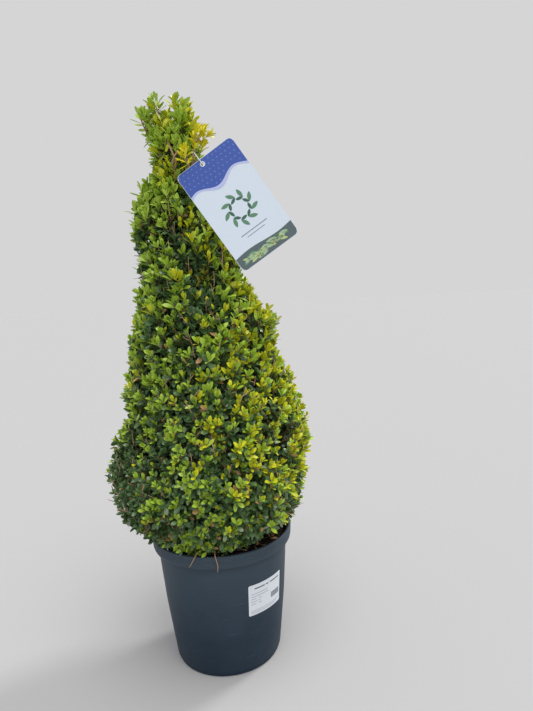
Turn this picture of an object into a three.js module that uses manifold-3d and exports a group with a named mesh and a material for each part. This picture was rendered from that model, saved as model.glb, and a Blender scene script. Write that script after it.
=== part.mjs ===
// A box plant clipped to a loose cone, growing in a round nursery pot, with a card tag tied to it.
// Millimetres, +Z up, -Y to the front. The origin is the centre of the pot's flat underside.
//
// The pot holds a root ball of compost. One stem runs up from it and leans a little to the left.
// Boughs leave the stem, and each ends in a mass of foliage. Tiers of masses stand round the stem,
// and each tier is parted into sectors. A clipped mass is a solid core that leafy shoots stand out of.

import * as THREE from "three";
import { mergeVertices } from "three/addons/utils/BufferGeometryUtils.js";
import Module from "manifold-3d";

const wasm = await Module();
wasm.setup();

const { degToRad, lerp } = THREE.MathUtils;
const UP = new THREE.Vector3(0, 0, 1);
const GOLDEN_ANGLE = Math.PI * (3 - Math.sqrt(5));

// Clearance between pieces that touch.
const CLEAR = 0.3;

// The pot is a turned, thin-walled shell: a tapering wall with a step at its foot and a band at its rim.
const POT = {
  height: 275,
  rimRadius: 150,
  rimWidth: 6,
  bandHeight: 25,
  bandFootRadius: 147.5,
  footStep: 2.5,
  footBevel: 4,
  wall: 2.2,
  floor: 3,
  sides: 36,
};
const POT_WALL = [
  [10.5, 114],
  [130, 128.4],
  [247, 138],
];
const DRAIN = { count: 6, radius: 7, ringRadius: 86, sides: 8 };

// Compost fills the pot to a little under its rim. Its top is uneven but for a flat round the stem.
const COMPOST = { edgeHeight: 255, slopeHeight: 258, slopeRadius: 104, middleHeight: 262, middleRadius: 34 };
const COMPOST_RIPPLE = { height: 2.5, lengthX: 11, lengthY: 13 };

// The stem's centre line from the compost to its tip, and its thickness.
const STEM_PATH = [
  [0, 0, COMPOST.middleHeight + CLEAR],
  [-4, 3, 360],
  [-7, -3, 500],
  [-6, 3, 640],
  [-16, -2, 780],
  [-31, 2, 900],
  [-38, -1, 1005],
  [-44, 0, 1096],
];
const STEM = { footRadius: 17, lowRadius: 10, tipRadius: 2.8, flareHeight: 14, footCut: 4, sides: 9, steps: 22 };

// The crown's outline, to its leaf tips: radius by height, and its middle's x by height.
const CROWN_RADIUS = [
  [262, 126],
  [300, 171],
  [345, 210],
  [415, 228],
  [520, 198],
  [660, 160],
  [780, 130],
  [900, 104],
  [985, 81],
  [1050, 65],
  [1110, 58],
  [1160, 51],
  [1188, 33],
  [1200, 12],
];
const CROWN_MIDDLE = [
  [262, -10],
  [370, -19],
  [500, -8],
  [640, -4],
  [740, -17],
  [900, -33],
  [1060, -37],
  [1200, -46],
];
const CROWN = { foot: 262, top: 1200, standOut: 28, coreFoot: 284, coreTop: 1152, coreStep: 52, lump: 8, sides: 24 };

// Shoots lean outwards low on the cone and upwards near its tip: degrees above level by height.
const SHOOT_RISE = [
  [262, -28],
  [340, 4],
  [415, 22],
  [600, 38],
  [860, 46],
  [1000, 52],
  [1120, 62],
  [1200, 82],
];
const SHOOT = { count: 208, sunk: 9, radius: 1.7, jitter: 6, crowding: 44, seed: 20260 };
const LEAF = { length: 40, width: 20, thickness: 2.6, widestAt: 0.56, sunk: 1.2 };

// Tiers of the crown from the compost to its tip. Each boundary is a cone that rises outwards.
const TIERS = [
  { name: "skirt", low: CROWN.foot, high: 520, rise: 35, inner: 62, sectors: 4, turn: 0, bough: 292, joint: 350 },
  { name: "body", low: 520, high: 760, rise: 42, inner: 48, sectors: 3, turn: 30, bough: 440, joint: 560 },
  { name: "shoulder", low: 760, high: 985, rise: 52, inner: 27, sectors: 2, turn: 90, bough: 705, joint: 790 },
  { name: "spire", low: 985, high: CROWN.top, rise: 52, inner: 0, sectors: 1, turn: 0, bough: 0, joint: 0 },
];
const SECTOR_NAMES = {
  skirt: ["back_right", "back_left", "front_left", "front_right"],
  body: ["back", "left", "right"],
  shoulder: ["left", "right"],
  spire: ["top"],
};

// The crown isn't quite round.
const WAVES = [
  { depth: 0.03, count: 3, length: 90 },
  { depth: 0.02, count: 5, length: -60 },
];
const TIP_LOBES = { depth: 0.22, count: 3, facing: 190, from: 1080, to: 1150 };

// Boughs get thinner from tier to tier. Every other bough starts a little higher.
const BOUGH = { footRadius: 6, tipRadius: 4.2, sides: 7, steps: 6, lead: 14, stagger: 14, sweep: 6, thinnest: 0.6 };

// Gaps between the masses' cores, and how far leaves keep from a mass's bounds and from other pieces.
const TIER_GAP = 3;
const SECTOR_GAP = 1;

const SPACE_MARGIN = 1.2;
const LEAF_ROOM = 1.2;

// A side shoot that stands out to the right of the spire and carries the tag.
const SIDE_BOUGH_PATH = [
  [-34, -4, 946],
  [-24, -32, 976],
  [-8, -60, 1004],
  [-1, -71, 1030],
  [3, -69, 1049],
];
const SIDE_BOUGH = { footRadius: 3.4, tipRadius: 1.9, sides: 7, steps: 12, wraps: 0.88 };
const SIDE_SPRAY = { reach: 44, leafPairs: 5, room: 34 };

// The card tag, its hole and its loop tie.
const TAG = {
  width: 129,
  height: 220,
  thickness: 0.9,
  corner: 9,
  hole: [17, -78, 1018],
  holeRadius: 3.2,
  holeInset: 10,
  holeAside: 8.5,
  roll: 33,
  yaw: 2,
  tilt: 2,
  room: 2.5,
};
const TIE = { radius: 0.8, around: 6, steps: 32, sides: 5 };

// The sticker on the pot: its size, the direction it faces and the height of its lower edge.
const STICKER = { width: 86, height: 66, thickness: 0.4, facing: -46, foot: 131, steps: 8 };

const COLOURS = {
  pot: "#2b3238",
  compost: "#3a2a20",
  bark: "#8a6f55",
  leafGreen: "#4f7a1f",
  leafDeep: "#2f5a24",
  leafGold: "#9a9a22",
  card: "#dfe6ee",
  sticker: "#e9edf1",
  tie: "#f1f1ec",
};

// Value of a table of [height, value] rows at a height.
function valueAt(table, height) {
  const last = table.length - 1;
  if (height <= table[0][0]) return table[0][1];
  if (height >= table[last][0]) return table[last][1];
  const i = table.findIndex((row) => row[0] > height);
  const [h0, v0] = table[i - 1];
  const [h1, v1] = table[i];
  return lerp(v0, v1, (height - h0) / (h1 - h0));
}

// Repeatable random numbers from 0 to 1.
function seededRandom(seed) {
  let state = seed >>> 0;
  return () => {
    state = (Math.imul(state, 1664525) + 1013904223) >>> 0;
    return state / 4294967296;
  };
}

function solidOf(geometry) {
  const bare = geometry.index ? geometry.toNonIndexed() : geometry.clone();
  bare.deleteAttribute("normal");
  bare.deleteAttribute("uv");
  const merged = mergeVertices(bare, 1e-3);
  return new wasm.Manifold(
    new wasm.Mesh({
      numProp: 3,
      vertProperties: new Float32Array(merged.attributes.position.array),
      triVerts: new Uint32Array(merged.index.array),
    }),
  );
}

function geometryOf(solid) {
  const mesh = solid.getMesh();
  const geometry = new THREE.BufferGeometry();
  geometry.setAttribute("position", new THREE.BufferAttribute(new Float32Array(mesh.vertProperties), 3));
  geometry.setIndex(new THREE.BufferAttribute(new Uint32Array(mesh.triVerts), 1));
  geometry.computeVertexNormals();
  return geometry;
}

// The largest body of a solid: what cutting and joining leave loose is dropped. The solid is welded
// first, because welding can part a sliver from it.
function wholeBody(solid) {
  const bodies = solidOf(geometryOf(solid)).decompose();
  return bodies.reduce((a, b) => (b.volume() > a.volume() ? b : a));
}

function moveVertices(geometry, move) {
  const position = geometry.attributes.position;
  const p = new THREE.Vector3();
  for (let i = 0; i < position.count; i++) {
    p.fromBufferAttribute(position, i);
    move(p);
    position.setXYZ(i, p.x, p.y, p.z);
  }
  return geometry;
}

// A profile of [radius, height] rows turned about Z.
function turned(profile, sides) {
  const points = profile.map(([radius, height]) => new THREE.Vector2(radius, height));
  return new THREE.LatheGeometry(points, sides).rotateX(Math.PI / 2);
}

// A round limb along a curve: a cylinder whose rings are moved on to the curve.
function limb(curve, radiusAt, sides, steps) {
  const frames = curve.computeFrenetFrames(steps, false);
  return moveVertices(new THREE.CylinderGeometry(1, 1, 1, sides, steps), (p) => {
    const along = p.y + 0.5;
    const i = Math.round(along * steps);
    const radius = radiusAt(along);
    const centre = curve.getPointAt(along);
    centre.addScaledVector(frames.normals[i], p.x * radius);
    centre.addScaledVector(frames.binormals[i], -p.z * radius);
    p.copy(centre);
  });
}

function curveThrough(rows) {
  return new THREE.CatmullRomCurve3(rows.map((row) => new THREE.Vector3(...row)));
}

const crownMiddle = (height) => valueAt(CROWN_MIDDLE, height);
const crownRadius = (height) => valueAt(CROWN_RADIUS, height);

// The crown's radius is multiplied by this: waves run round it, and three lobes stand out at its tip.
function lobes(height, azimuth) {
  const waves = WAVES.map(({ depth, count, length }) => depth * Math.sin(count * azimuth + height / length));
  const rise = THREE.MathUtils.smoothstep(height, TIP_LOBES.from, TIP_LOBES.to);
  const tip = TIP_LOBES.depth * rise * Math.cos(TIP_LOBES.count * (azimuth - degToRad(TIP_LOBES.facing)));
  return waves.reduce((sum, wave) => sum + wave, 1 + tip);
}

// Lumps of a core's outer face, in millimetres. They fade out towards its bounding cones.
function lumps(height, azimuth, tier) {
  const head = tier.high - CROWN.standOut * Math.tan(degToRad(tier.rise));
  const fade = THREE.MathUtils.clamp(Math.min(height - tier.low, head - height) / CROWN.coreStep, 0, 1);
  return CROWN.lump * fade * Math.sin(4.3 * azimuth + height / 17) * Math.cos(6.1 * azimuth - height / 29);
}

// A point at a depth inside the crown's outline.
function crownPoint(height, azimuth, depth) {
  const radius = Math.max(crownRadius(height) * lobes(height, azimuth) - depth, 0);
  return new THREE.Vector3(
    crownMiddle(height) + radius * Math.cos(azimuth),
    radius * Math.sin(azimuth),
    height,
  );
}

// A tier's middle is where its sectors meet.
const tierMiddle = (tier) => crownMiddle((tier.low + Math.min(tier.high, CROWN.coreTop)) / 2);

// How far a point lies above the cone that bounds a tier at a height.
function aboveCone(point, height, rise) {
  const x = point.x - crownMiddle(point.z);
  const radius = Math.hypot(x, point.y) / lobes(point.z, Math.atan2(point.y, x));
  return point.z - (height - Math.tan(degToRad(rise)) * (crownRadius(height) - radius));
}

// The outer radius of the pot's wall at a height.
const potWall = (height) => valueAt(POT_WALL, height);

// The pot's inside, as [height, radius] rows.
const POT_INSIDE = [
  [POT.floor, POT_WALL[0][1] - POT.footStep - POT.wall - POT.footBevel],
  [POT.floor + 8, POT_WALL[0][1] - POT.footStep - POT.wall],
  [POT_WALL[1][0], POT_WALL[1][1] - POT.wall],
  [POT_WALL[2][0], POT_WALL[2][1] - POT.wall],
  [POT.height - POT.footBevel, POT.rimRadius - POT.rimWidth],
];

function buildPot() {
  const bandFoot = POT.height - POT.bandHeight;
  const [[footHeight, footRadius]] = POT_WALL;
  const stepRadius = footRadius - POT.footStep;
  const profile = [
    [0, 0],
    [stepRadius - POT.footBevel, 0],
    [stepRadius, POT.footBevel],
    [stepRadius, footHeight - POT.footStep],
    ...POT_WALL.map(([height, radius]) => [radius, height]),
    [POT.bandFootRadius - 1, bandFoot],
    [POT.bandFootRadius, bandFoot + 1.5],
    [POT.rimRadius, POT.height - 3],
    [POT.rimRadius - 1.2, POT.height],
    [POT.rimRadius - POT.rimWidth, POT.height],
    ...POT_INSIDE.map(([height, radius]) => [radius, height]).reverse(),
    [0, POT.floor],
  ];
  let pot = solidOf(turned(profile, POT.sides));
  for (let i = 0; i < DRAIN.count; i++) {
    const azimuth = ((i + 0.5) * 2 * Math.PI) / DRAIN.count;
    const drill = new THREE.CylinderGeometry(DRAIN.radius, DRAIN.radius, 3 * POT.floor, DRAIN.sides);
    drill.rotateX(Math.PI / 2);
    drill.translate(DRAIN.ringRadius * Math.cos(azimuth), DRAIN.ringRadius * Math.sin(azimuth), 0);
    pot = pot.subtract(solidOf(drill));
  }
  return pot;
}

// The compost keeps one clearance off the pot all round: it has the pot's rows and its number of sides.
function buildRootBall() {
  const inside = (height) => valueAt(POT_INSIDE, height) - CLEAR;
  const foot = POT.floor + CLEAR;
  const flank = POT_INSIDE.slice(1, -1).map(([height]) => [inside(height), height]);
  const profile = [
    [0, foot],
    [inside(foot), foot],
    ...flank,
    [inside(COMPOST.edgeHeight), COMPOST.edgeHeight],
    [COMPOST.slopeRadius, COMPOST.slopeHeight],
    [COMPOST.middleRadius, COMPOST.middleHeight],
    [0, COMPOST.middleHeight],
  ];
  const { height, lengthX, lengthY } = COMPOST_RIPPLE;
  const geometry = turned(profile, POT.sides);
  moveVertices(geometry, (p) => {
    const isSlope = Math.abs(Math.hypot(p.x, p.y) - COMPOST.slopeRadius) < 1;
    if (isSlope) p.z += height * Math.sin(p.x / lengthX) * Math.cos(p.y / lengthY);
  });
  return solidOf(geometry);
}

function stemRadius(along) {
  const length = STEM_PATH.at(-1)[2] - COMPOST.middleHeight;
  const flare = Math.exp((-along * length) / STEM.flareHeight);
  return lerp(STEM.lowRadius, STEM.tipRadius, along ** 0.85) + (STEM.footRadius - STEM.lowRadius) * flare;
}

// The flare's foot is cut flat where the stem meets the compost.
function buildStem() {
  const stem = limb(curveThrough(STEM_PATH), stemRadius, STEM.sides, STEM.steps);
  moveVertices(stem, (p) => {
    const floor = COMPOST.middleHeight + CLEAR;
    if (p.z < floor + STEM.footCut) p.z = floor;
  });
  return solidOf(stem);
}

// The middle direction of one of a tier's sectors.
const sectorMiddle = (tier, i) => degToRad(tier.turn) + ((i + 0.5) * 2 * Math.PI) / tier.sectors;

// The stem's middle at a height.
function stemPoint(height) {
  const x = valueAt(STEM_PATH.map((row) => [row[2], row[0]]), height);
  const y = valueAt(STEM_PATH.map((row) => [row[2], row[1]]), height);
  return new THREE.Vector3(x, y, height);
}

// Where a sector's bough leaves the stem, where it ends, and the way out to its mass.
function boughCourse(tier, i) {
  const azimuth = sectorMiddle(tier, i);
  const outward = new THREE.Vector3(Math.cos(azimuth), Math.sin(azimuth), 0);
  const start = stemPoint(tier.bough + BOUGH.stagger * (i % 2));
  const end = stemPoint(tier.joint).addScaledVector(outward, tier.inner - BOUGH.lead);
  const bend = start.clone().lerp(end, 0.5).addScaledVector(outward, BOUGH.sweep).addScaledVector(UP, -BOUGH.sweep);
  return { start, bend, end, outward };
}

const boughScale = (tier) => lerp(BOUGH.thinnest, 1, tier.inner / TIERS[0].inner);

function buildBough(tier, i, stem) {
  const { start, bend, end } = boughCourse(tier, i);
  const curve = new THREE.CatmullRomCurve3([start, bend, end]);
  const radiusAt = (along) => lerp(BOUGH.footRadius, BOUGH.tipRadius, along) * boughScale(tier);
  const solid = solidOf(limb(curve, radiusAt, BOUGH.sides, BOUGH.steps));
  return wholeBody(solid.subtract(stem));
}

// The short stem of a mass goes on from its bough's tip, one clearance off it, and ends inside the core.
function massStem(tier, i) {
  const { bend, end, outward } = boughCourse(tier, i);
  const ahead = end.clone().sub(bend).normalize();
  const start = end.clone().addScaledVector(ahead, CLEAR);
  const inside = end.clone().addScaledVector(ahead, BOUGH.lead).addScaledVector(outward, 1.6 * BOUGH.lead);
  const curve = new THREE.CatmullRomCurve3([start, end.clone().addScaledVector(ahead, BOUGH.lead / 2), inside]);
  return solidOf(limb(curve, () => BOUGH.tipRadius * boughScale(tier), BOUGH.sides, 3));
}

// The spire's own stem goes on from the trunk's tip.
function spireStem() {
  const start = new THREE.Vector3(...STEM_PATH.at(-1)).addScaledVector(UP, 1.5 * CLEAR);
  const end = start.clone().lerp(new THREE.Vector3(crownMiddle(CROWN.coreTop), 0, CROWN.coreTop), 0.6);
  return solidOf(limb(new THREE.LineCurve3(start, end), () => STEM.tipRadius, 5, 1));
}

// The height of a tier's bounding cone at a radius. The cone meets the crown's outline at its height.
const coneHeight = (height, rise, radius) => height - Math.tan(degToRad(rise)) * (crownRadius(height) - radius);

// A tier's core before it is parted into sectors: a ring between the tier's two bounding cones.
function ringProfile(tier) {
  const below = TIERS[TIERS.indexOf(tier) - 1];
  const half = TIER_GAP / 2;
  const foot = (radius) => (below ? coneHeight(tier.low, below.rise, radius) + half : CROWN.coreFoot);
  const head = (radius) => coneHeight(tier.high, tier.rise, radius) - half;
  const footRadius = crownRadius(below ? tier.low : CROWN.coreFoot) - CROWN.standOut;
  const headRadius = crownRadius(tier.high) - CROWN.standOut;
  const steps = Math.max(2, Math.round((head(headRadius) - foot(footRadius)) / CROWN.coreStep));
  const flank = [];
  for (let i = 1; i < steps; i++) {
    const height = lerp(foot(footRadius), head(headRadius), i / steps);
    flank.push([crownRadius(height) - CROWN.standOut, height]);
  }
  return [
    [tier.inner, foot(tier.inner)],
    ...(below ? [[below.inner, foot(below.inner)]] : []),
    [footRadius, foot(footRadius)],
    ...flank,
    [headRadius, head(headRadius)],
    [tier.inner, head(tier.inner)],
    [tier.inner, foot(tier.inner)],
  ];
}

// The spire's core is solid to its middle, round the stem's tip.
const SPIRE_CORE = [
  [0, 925],
  [26, 930],
  [52, 958],
  [53, 988],
  [40, 1038],
  [34, 1098],
  [26, 1138],
  [0, CROWN.coreTop],
];

function coreSolid(tier) {
  const geometry = turned(tier.inner ? ringProfile(tier) : SPIRE_CORE, CROWN.sides);
  moveVertices(geometry, (p) => {
    const radius = Math.hypot(p.x, p.y);
    const azimuth = Math.atan2(p.y, p.x);
    const isOuter = radius > tier.inner + 2 && radius > 12;
    const grow = lobes(p.z, azimuth) + (isOuter ? lumps(p.z, azimuth, tier) / radius : 0);
    p.x = p.x * grow + crownMiddle(p.z);
    p.y *= grow;
  });
  return solidOf(geometry);
}

// An upright wedge that holds one sector, with half of the gap kept off each side.
function sectorWedge(tier, i) {
  const half = Math.PI / tier.sectors;
  const far = 420;
  const azimuth = sectorMiddle(tier, i);
  const shape = new THREE.Shape();
  shape.moveTo(0, 0);
  shape.lineTo(far * Math.cos(-half), far * Math.sin(-half));
  shape.lineTo(far * 2, far * Math.sin(-half));
  shape.lineTo(far * 2, far * Math.sin(half));
  shape.lineTo(far * Math.cos(half), far * Math.sin(half));
  shape.closePath();
  const wedge = new THREE.ExtrudeGeometry(shape, { depth: CROWN.top, bevelEnabled: false });
  wedge.translate(SECTOR_GAP / 2 / Math.sin(half), 0, 0);
  wedge.rotateZ(azimuth);
  wedge.translate(tierMiddle(tier), 0, 0);
  return solidOf(wedge);
}

// Whether a point keeps to one mass's space.
function keepsTo(tier, i, point) {
  const margin = SPACE_MARGIN;
  const below = TIERS[TIERS.indexOf(tier) - 1];
  if (below && aboveCone(point, tier.low, below.rise) < margin) return false;
  if (tier.high < CROWN.top && aboveCone(point, tier.high, tier.rise) > -margin) return false;
  if (tier.sectors === 1) return true;
  const half = Math.PI / tier.sectors;
  const x = point.x - tierMiddle(tier);
  const azimuth = sectorMiddle(tier, i);
  const along = x * Math.cos(azimuth) + point.y * Math.sin(azimuth);
  const across = Math.abs(-x * Math.sin(azimuth) + point.y * Math.cos(azimuth));
  return along * Math.sin(half) - across * Math.cos(half) > margin;
}

// A leaf of four faces from its root along +Y: a diamond, widest past its middle, folded up at its sides.
function leafGeometry(length) {
  const side = (LEAF.width / 2) * (length / LEAF.length);
  const lift = LEAF.thickness / 2;
  const widest = LEAF.widestAt * length;
  const leaf = new THREE.BufferGeometry();
  const corners = [0, 0, -lift, 0, length, -lift, -side, widest, lift, side, widest, lift];
  leaf.setAttribute("position", new THREE.Float32BufferAttribute(corners, 3));
  leaf.setIndex([0, 1, 3, 0, 2, 1, 0, 3, 2, 1, 2, 3]);
  return leaf;
}

// Places a piece made along +Y so that it starts at a point and runs along a direction.
function placeAlong(geometry, start, direction, roll) {
  const turn = new THREE.Quaternion().setFromUnitVectors(new THREE.Vector3(0, 1, 0), direction);
  const spin = new THREE.Quaternion().setFromAxisAngle(new THREE.Vector3(0, 1, 0), roll);
  return geometry.applyQuaternion(turn.multiply(spin)).translate(start.x, start.y, start.z);
}

// The pair of leaves at one node of a shoot, opposite each other and tilted off its direction.
function leafPair(node, direction, azimuth, spread, length) {
  const side = new THREE.Vector3().crossVectors(direction, Math.abs(direction.z) > 0.9 ? new THREE.Vector3(1, 0, 0) : UP);
  side.normalize();
  return [0, Math.PI].map((half) => {
    const off = side.clone().applyAxisAngle(direction, azimuth + half);
    const along = direction.clone().multiplyScalar(Math.cos(spread)).addScaledVector(off, Math.sin(spread));
    const start = node.clone().addScaledVector(along, -LEAF.sunk);
    const leaf = leafGeometry(length);
    const turn = new THREE.Quaternion().setFromUnitVectors(new THREE.Vector3(0, 1, 0), along);
    const face = new THREE.Vector3(0, 0, 1).applyQuaternion(turn);
    const wanted = direction.clone().addScaledVector(along, -direction.dot(along)).normalize();
    const roll = Math.atan2(new THREE.Vector3().crossVectors(face, wanted).dot(along), face.dot(wanted));
    return placeAlong(leaf, start, along, roll);
  });
}

// One shoot: a three-sided twig from inside the core, and two crossed pairs of leaves near its tip.
function shootPieces(root, tip, random) {
  const direction = tip.clone().sub(root).normalize();
  const length = LEAF.length * lerp(0.85, 1.15, random());
  const spreadLow = degToRad(lerp(48, 62, random()));
  const spreadHigh = degToRad(lerp(24, 36, random()));
  const end = tip.clone().addScaledVector(direction, -length * Math.cos(spreadHigh));
  const twigLength = end.distanceTo(root);
  const twig = new THREE.ConeGeometry(SHOOT.radius, twigLength + 6, 3).translate(0, (twigLength + 6) / 2, 0);
  const azimuth = random() * Math.PI;
  const low = root.clone().lerp(end, Math.max(0.5, 1 - 13 / twigLength));
  return {
    twig: placeAlong(twig, root, direction, azimuth),
    leaves: [
      ...leafPair(low, direction, azimuth, spreadLow, length),
      ...leafPair(end, direction, azimuth + Math.PI / 2, spreadHigh, length),
    ],
  };
}

// Whether a twig or leaf keeps to its mass's space and out of the room round the limbs, tag and pot.
function fits(geometry, solid, tier, i, room) {
  const position = geometry.attributes.position;
  const p = new THREE.Vector3();
  for (let k = 0; k < position.count; k++) {
    if (!keepsTo(tier, i, p.fromBufferAttribute(position, k))) return false;
  }
  return solid.intersect(room).isEmpty();
}

// Shoots over the whole crown, even by area: height by share of area, direction by the golden angle.
function shootSites() {
  const random = seededRandom(SHOOT.seed);
  const steps = 400;
  const heights = [];
  const areas = [0];
  for (let i = 0; i <= steps; i++) heights.push(lerp(CROWN.foot + 8, CROWN.top, i / steps));
  for (let i = 1; i <= steps; i++) {
    const radius = crownRadius(heights[i]);
    const slope = Math.hypot(crownRadius(heights[i]) - crownRadius(heights[i - 1]), heights[i] - heights[i - 1]);
    areas.push(areas[i - 1] + (radius + SHOOT.crowding) * slope);
  }
  return Array.from({ length: SHOOT.count }, (_, k) => {
    const wanted = ((k + 0.5) / SHOOT.count) * areas[steps];
    const i = Math.max(areas.findIndex((area) => area >= wanted), 1);
    const share = (wanted - areas[i - 1]) / (areas[i] - areas[i - 1]);
    const height = lerp(heights[i - 1], heights[i], share);
    const azimuth = k * GOLDEN_ANGLE + (random() - 0.5) * 0.16;
    const short = SHOOT.jitter * random() ** 2;
    const rise = valueAt(SHOOT_RISE, height) + (random() - 0.5) * 14;
    return { height, azimuth, short, rise, pick: random() };
  });
}

// A shoot's root in the core and its tip at the crown's outline.
function shootCourse(site) {
  const tip = crownPoint(site.height, site.azimuth, site.short);
  const inset = CROWN.standOut + SHOOT.sunk;
  const drop = inset * Math.tan(degToRad(Math.min(site.rise, 62)));
  const height = THREE.MathUtils.clamp(site.height - drop, CROWN.coreFoot + 6, CROWN.coreTop - 14);
  const depth = height > SPIRE_CORE[3][1] ? 0.8 * crownRadius(height) : inset;
  return { root: crownPoint(height, site.azimuth, depth), tip };
}

function buildMass(tier, i, sites, room, limbs) {
  const parts = [tier.inner ? massStem(tier, i) : spireStem()];
  const core = coreSolid(tier);
  parts.push(tier.sectors > 1 ? core.intersect(sectorWedge(tier, i)) : core);
  for (const site of sites) {
    const { root, tip } = shootCourse(site);
    if (!keepsTo(tier, i, root) || !keepsTo(tier, i, tip)) continue;
    const shoot = shootPieces(root, tip, seededRandom(SHOOT.seed + Math.floor(site.pick * 1e6)));
    const [twig, ...leaves] = [shoot.twig, ...shoot.leaves]
      .map((geometry) => ({ geometry, solid: solidOf(geometry) }))
      .map(({ geometry, solid }) => (fits(geometry, solid, tier, i, room) ? solid : null));
    if (twig) parts.push(twig, ...leaves.filter(Boolean));
  }
  const joined = wasm.Manifold.union(parts);
  return wholeBody(joined.subtract(limbs));
}

// The spray at the side bough's tip: one stem with leaf pairs, each crossing the last, and no core.
function buildSideSpray(curve) {
  const lean = curve.getTangentAt(1);
  const start = curve.getPointAt(1).addScaledVector(lean, CLEAR);
  const twig = new THREE.ConeGeometry(SIDE_BOUGH.tipRadius, SIDE_SPRAY.reach, 5);
  twig.translate(0, SIDE_SPRAY.reach / 2, 0);
  const parts = [solidOf(placeAlong(twig, start, lean, 0))];
  for (let k = 0; k < SIDE_SPRAY.leafPairs; k++) {
    const share = (k + 0.6) / SIDE_SPRAY.leafPairs;
    const node = start.clone().addScaledVector(lean, SIDE_SPRAY.reach * share * 0.9);
    const spread = degToRad(lerp(62, 26, share));
    const length = LEAF.length * lerp(1, 0.8, share);
    parts.push(...leafPair(node, lean, (k * Math.PI) / 2, spread, length).map(solidOf));
  }
  return wholeBody(wasm.Manifold.union(parts));
}

// The tag's place: its hole is at TAG.hole, and its card hangs down from there.
function tagMatrix() {
  const turn = new THREE.Euler(degToRad(90 - TAG.tilt), 0, 0);
  return new THREE.Matrix4()
    .makeTranslation(...TAG.hole)
    .multiply(new THREE.Matrix4().makeRotationZ(degToRad(-TAG.yaw)))
    .multiply(new THREE.Matrix4().makeRotationFromEuler(turn))
    .multiply(new THREE.Matrix4().makeRotationZ(degToRad(TAG.roll)));
}

// The room that leaves keep out of: a slab round the tag and its tie.
function tagRoom(matrix) {
  const slab = new THREE.BoxGeometry(TAG.width + 2 * LEAF_ROOM, TAG.height + 2 * LEAF_ROOM, 2 * TAG.room);
  slab.translate(TAG.holeAside, TAG.holeInset - TAG.height / 2, 0);
  const tieSlab = new THREE.BoxGeometry(9, 34, 18).translate(0, 12, -4);
  return solidOf(slab.applyMatrix4(matrix)).add(solidOf(tieSlab.applyMatrix4(matrix)));
}

// The room round the side spray.
function sprayRoom(curve) {
  const middle = curve.getPointAt(1).addScaledVector(curve.getTangentAt(1), SIDE_SPRAY.reach * 0.6);
  return solidOf(new THREE.IcosahedronGeometry(SIDE_SPRAY.room, 0).translate(middle.x, middle.y, middle.z));
}

// The room of the compost and of the pot's rim.
function potRoom() {
  const rim = POT.rimRadius + LEAF_ROOM;
  const top = POT.height + LEAF_ROOM;
  const compostTop = COMPOST.middleHeight + 3 * LEAF_ROOM;
  const profile = [
    [0, POT.floor],
    [rim, POT.floor],
    [rim, top],
    [POT.rimRadius - POT.rimWidth - LEAF_ROOM, top],
    [POT.rimRadius - POT.rimWidth - LEAF_ROOM, compostTop],
    [0, compostTop],
  ];
  return solidOf(turned(profile, POT.sides));
}

// A round-cornered card with a hole near its top edge, in its own frame: the hole is at 0, 0.
function buildTag(matrix) {
  const left = TAG.holeAside - TAG.width / 2;
  const right = TAG.holeAside + TAG.width / 2;
  const top = TAG.holeInset;
  const foot = TAG.holeInset - TAG.height;
  const c = TAG.corner;
  const shape = new THREE.Shape();
  shape.moveTo(left + c, foot);
  shape.lineTo(right - c, foot);
  shape.absarc(right - c, foot + c, c, -Math.PI / 2, 0);
  shape.lineTo(right, top - c);
  shape.absarc(right - c, top - c, c, 0, Math.PI / 2);
  shape.lineTo(left + c, top);
  shape.absarc(left + c, top - c, c, Math.PI / 2, Math.PI);
  shape.lineTo(left, foot + c);
  shape.absarc(left + c, foot + c, c, Math.PI, 1.5 * Math.PI);
  shape.holes.push(new THREE.Path().absarc(0, 0, TAG.holeRadius, 0, 2 * Math.PI, true));
  const card = new THREE.ExtrudeGeometry(shape, { depth: TAG.thickness, bevelEnabled: false, curveSegments: 5 });
  card.translate(0, 0, -TAG.thickness / 2);
  return solidOf(card.applyMatrix4(matrix));
}

// A closed loop: through the tag's hole, over the card's top edge, and round the back of the side bough.
function buildTie(matrix, bough) {
  const centre = bough.getPointAt(SIDE_BOUGH.wraps);
  const axis = bough.getTangentAt(SIDE_BOUGH.wraps);
  const hole = new THREE.Vector3().applyMatrix4(matrix);
  const front = new THREE.Vector3(0, 0, 1).transformDirection(matrix);
  const pull = centre.clone().sub(hole);
  const inCard = pull.clone().addScaledVector(front, -pull.dot(front)).normalize();
  const onCard = (offset, height) => hole.clone().addScaledVector(inCard, offset).addScaledVector(front, height);

  const boughRadius = lerp(SIDE_BOUGH.footRadius, SIDE_BOUGH.tipRadius, SIDE_BOUGH.wraps);
  const wrap = boughRadius + CLEAR + 2 * TIE.radius;
  const across = front.clone().addScaledVector(axis, -front.dot(axis)).normalize();
  const away = new THREE.Vector3().crossVectors(across, axis).normalize();
  if (away.dot(pull) < 0) away.negate();
  const points = [];
  for (let k = 0; k <= TIE.around; k++) {
    const angle = Math.PI * (0.5 - k / TIE.around);
    const round = centre.clone().addScaledVector(away, wrap * Math.cos(angle));
    points.push(round.addScaledVector(across, wrap * Math.sin(angle)));
  }
  const stand = TAG.thickness / 2 + 2.2 * TIE.radius;
  points.push(onCard(TAG.holeInset, -stand - 2), onCard(TAG.holeRadius + 1, -stand));
  points.push(onCard(0.6, -TIE.radius), onCard(0.6, TIE.radius));
  points.push(onCard(TAG.holeRadius + 1, stand), onCard(TAG.holeInset + 1, stand));
  const path = new THREE.CatmullRomCurve3(points, true, "centripetal");
  return solidOf(new THREE.TubeGeometry(path, TIE.steps, TIE.radius, TIE.sides, true));
}

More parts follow.
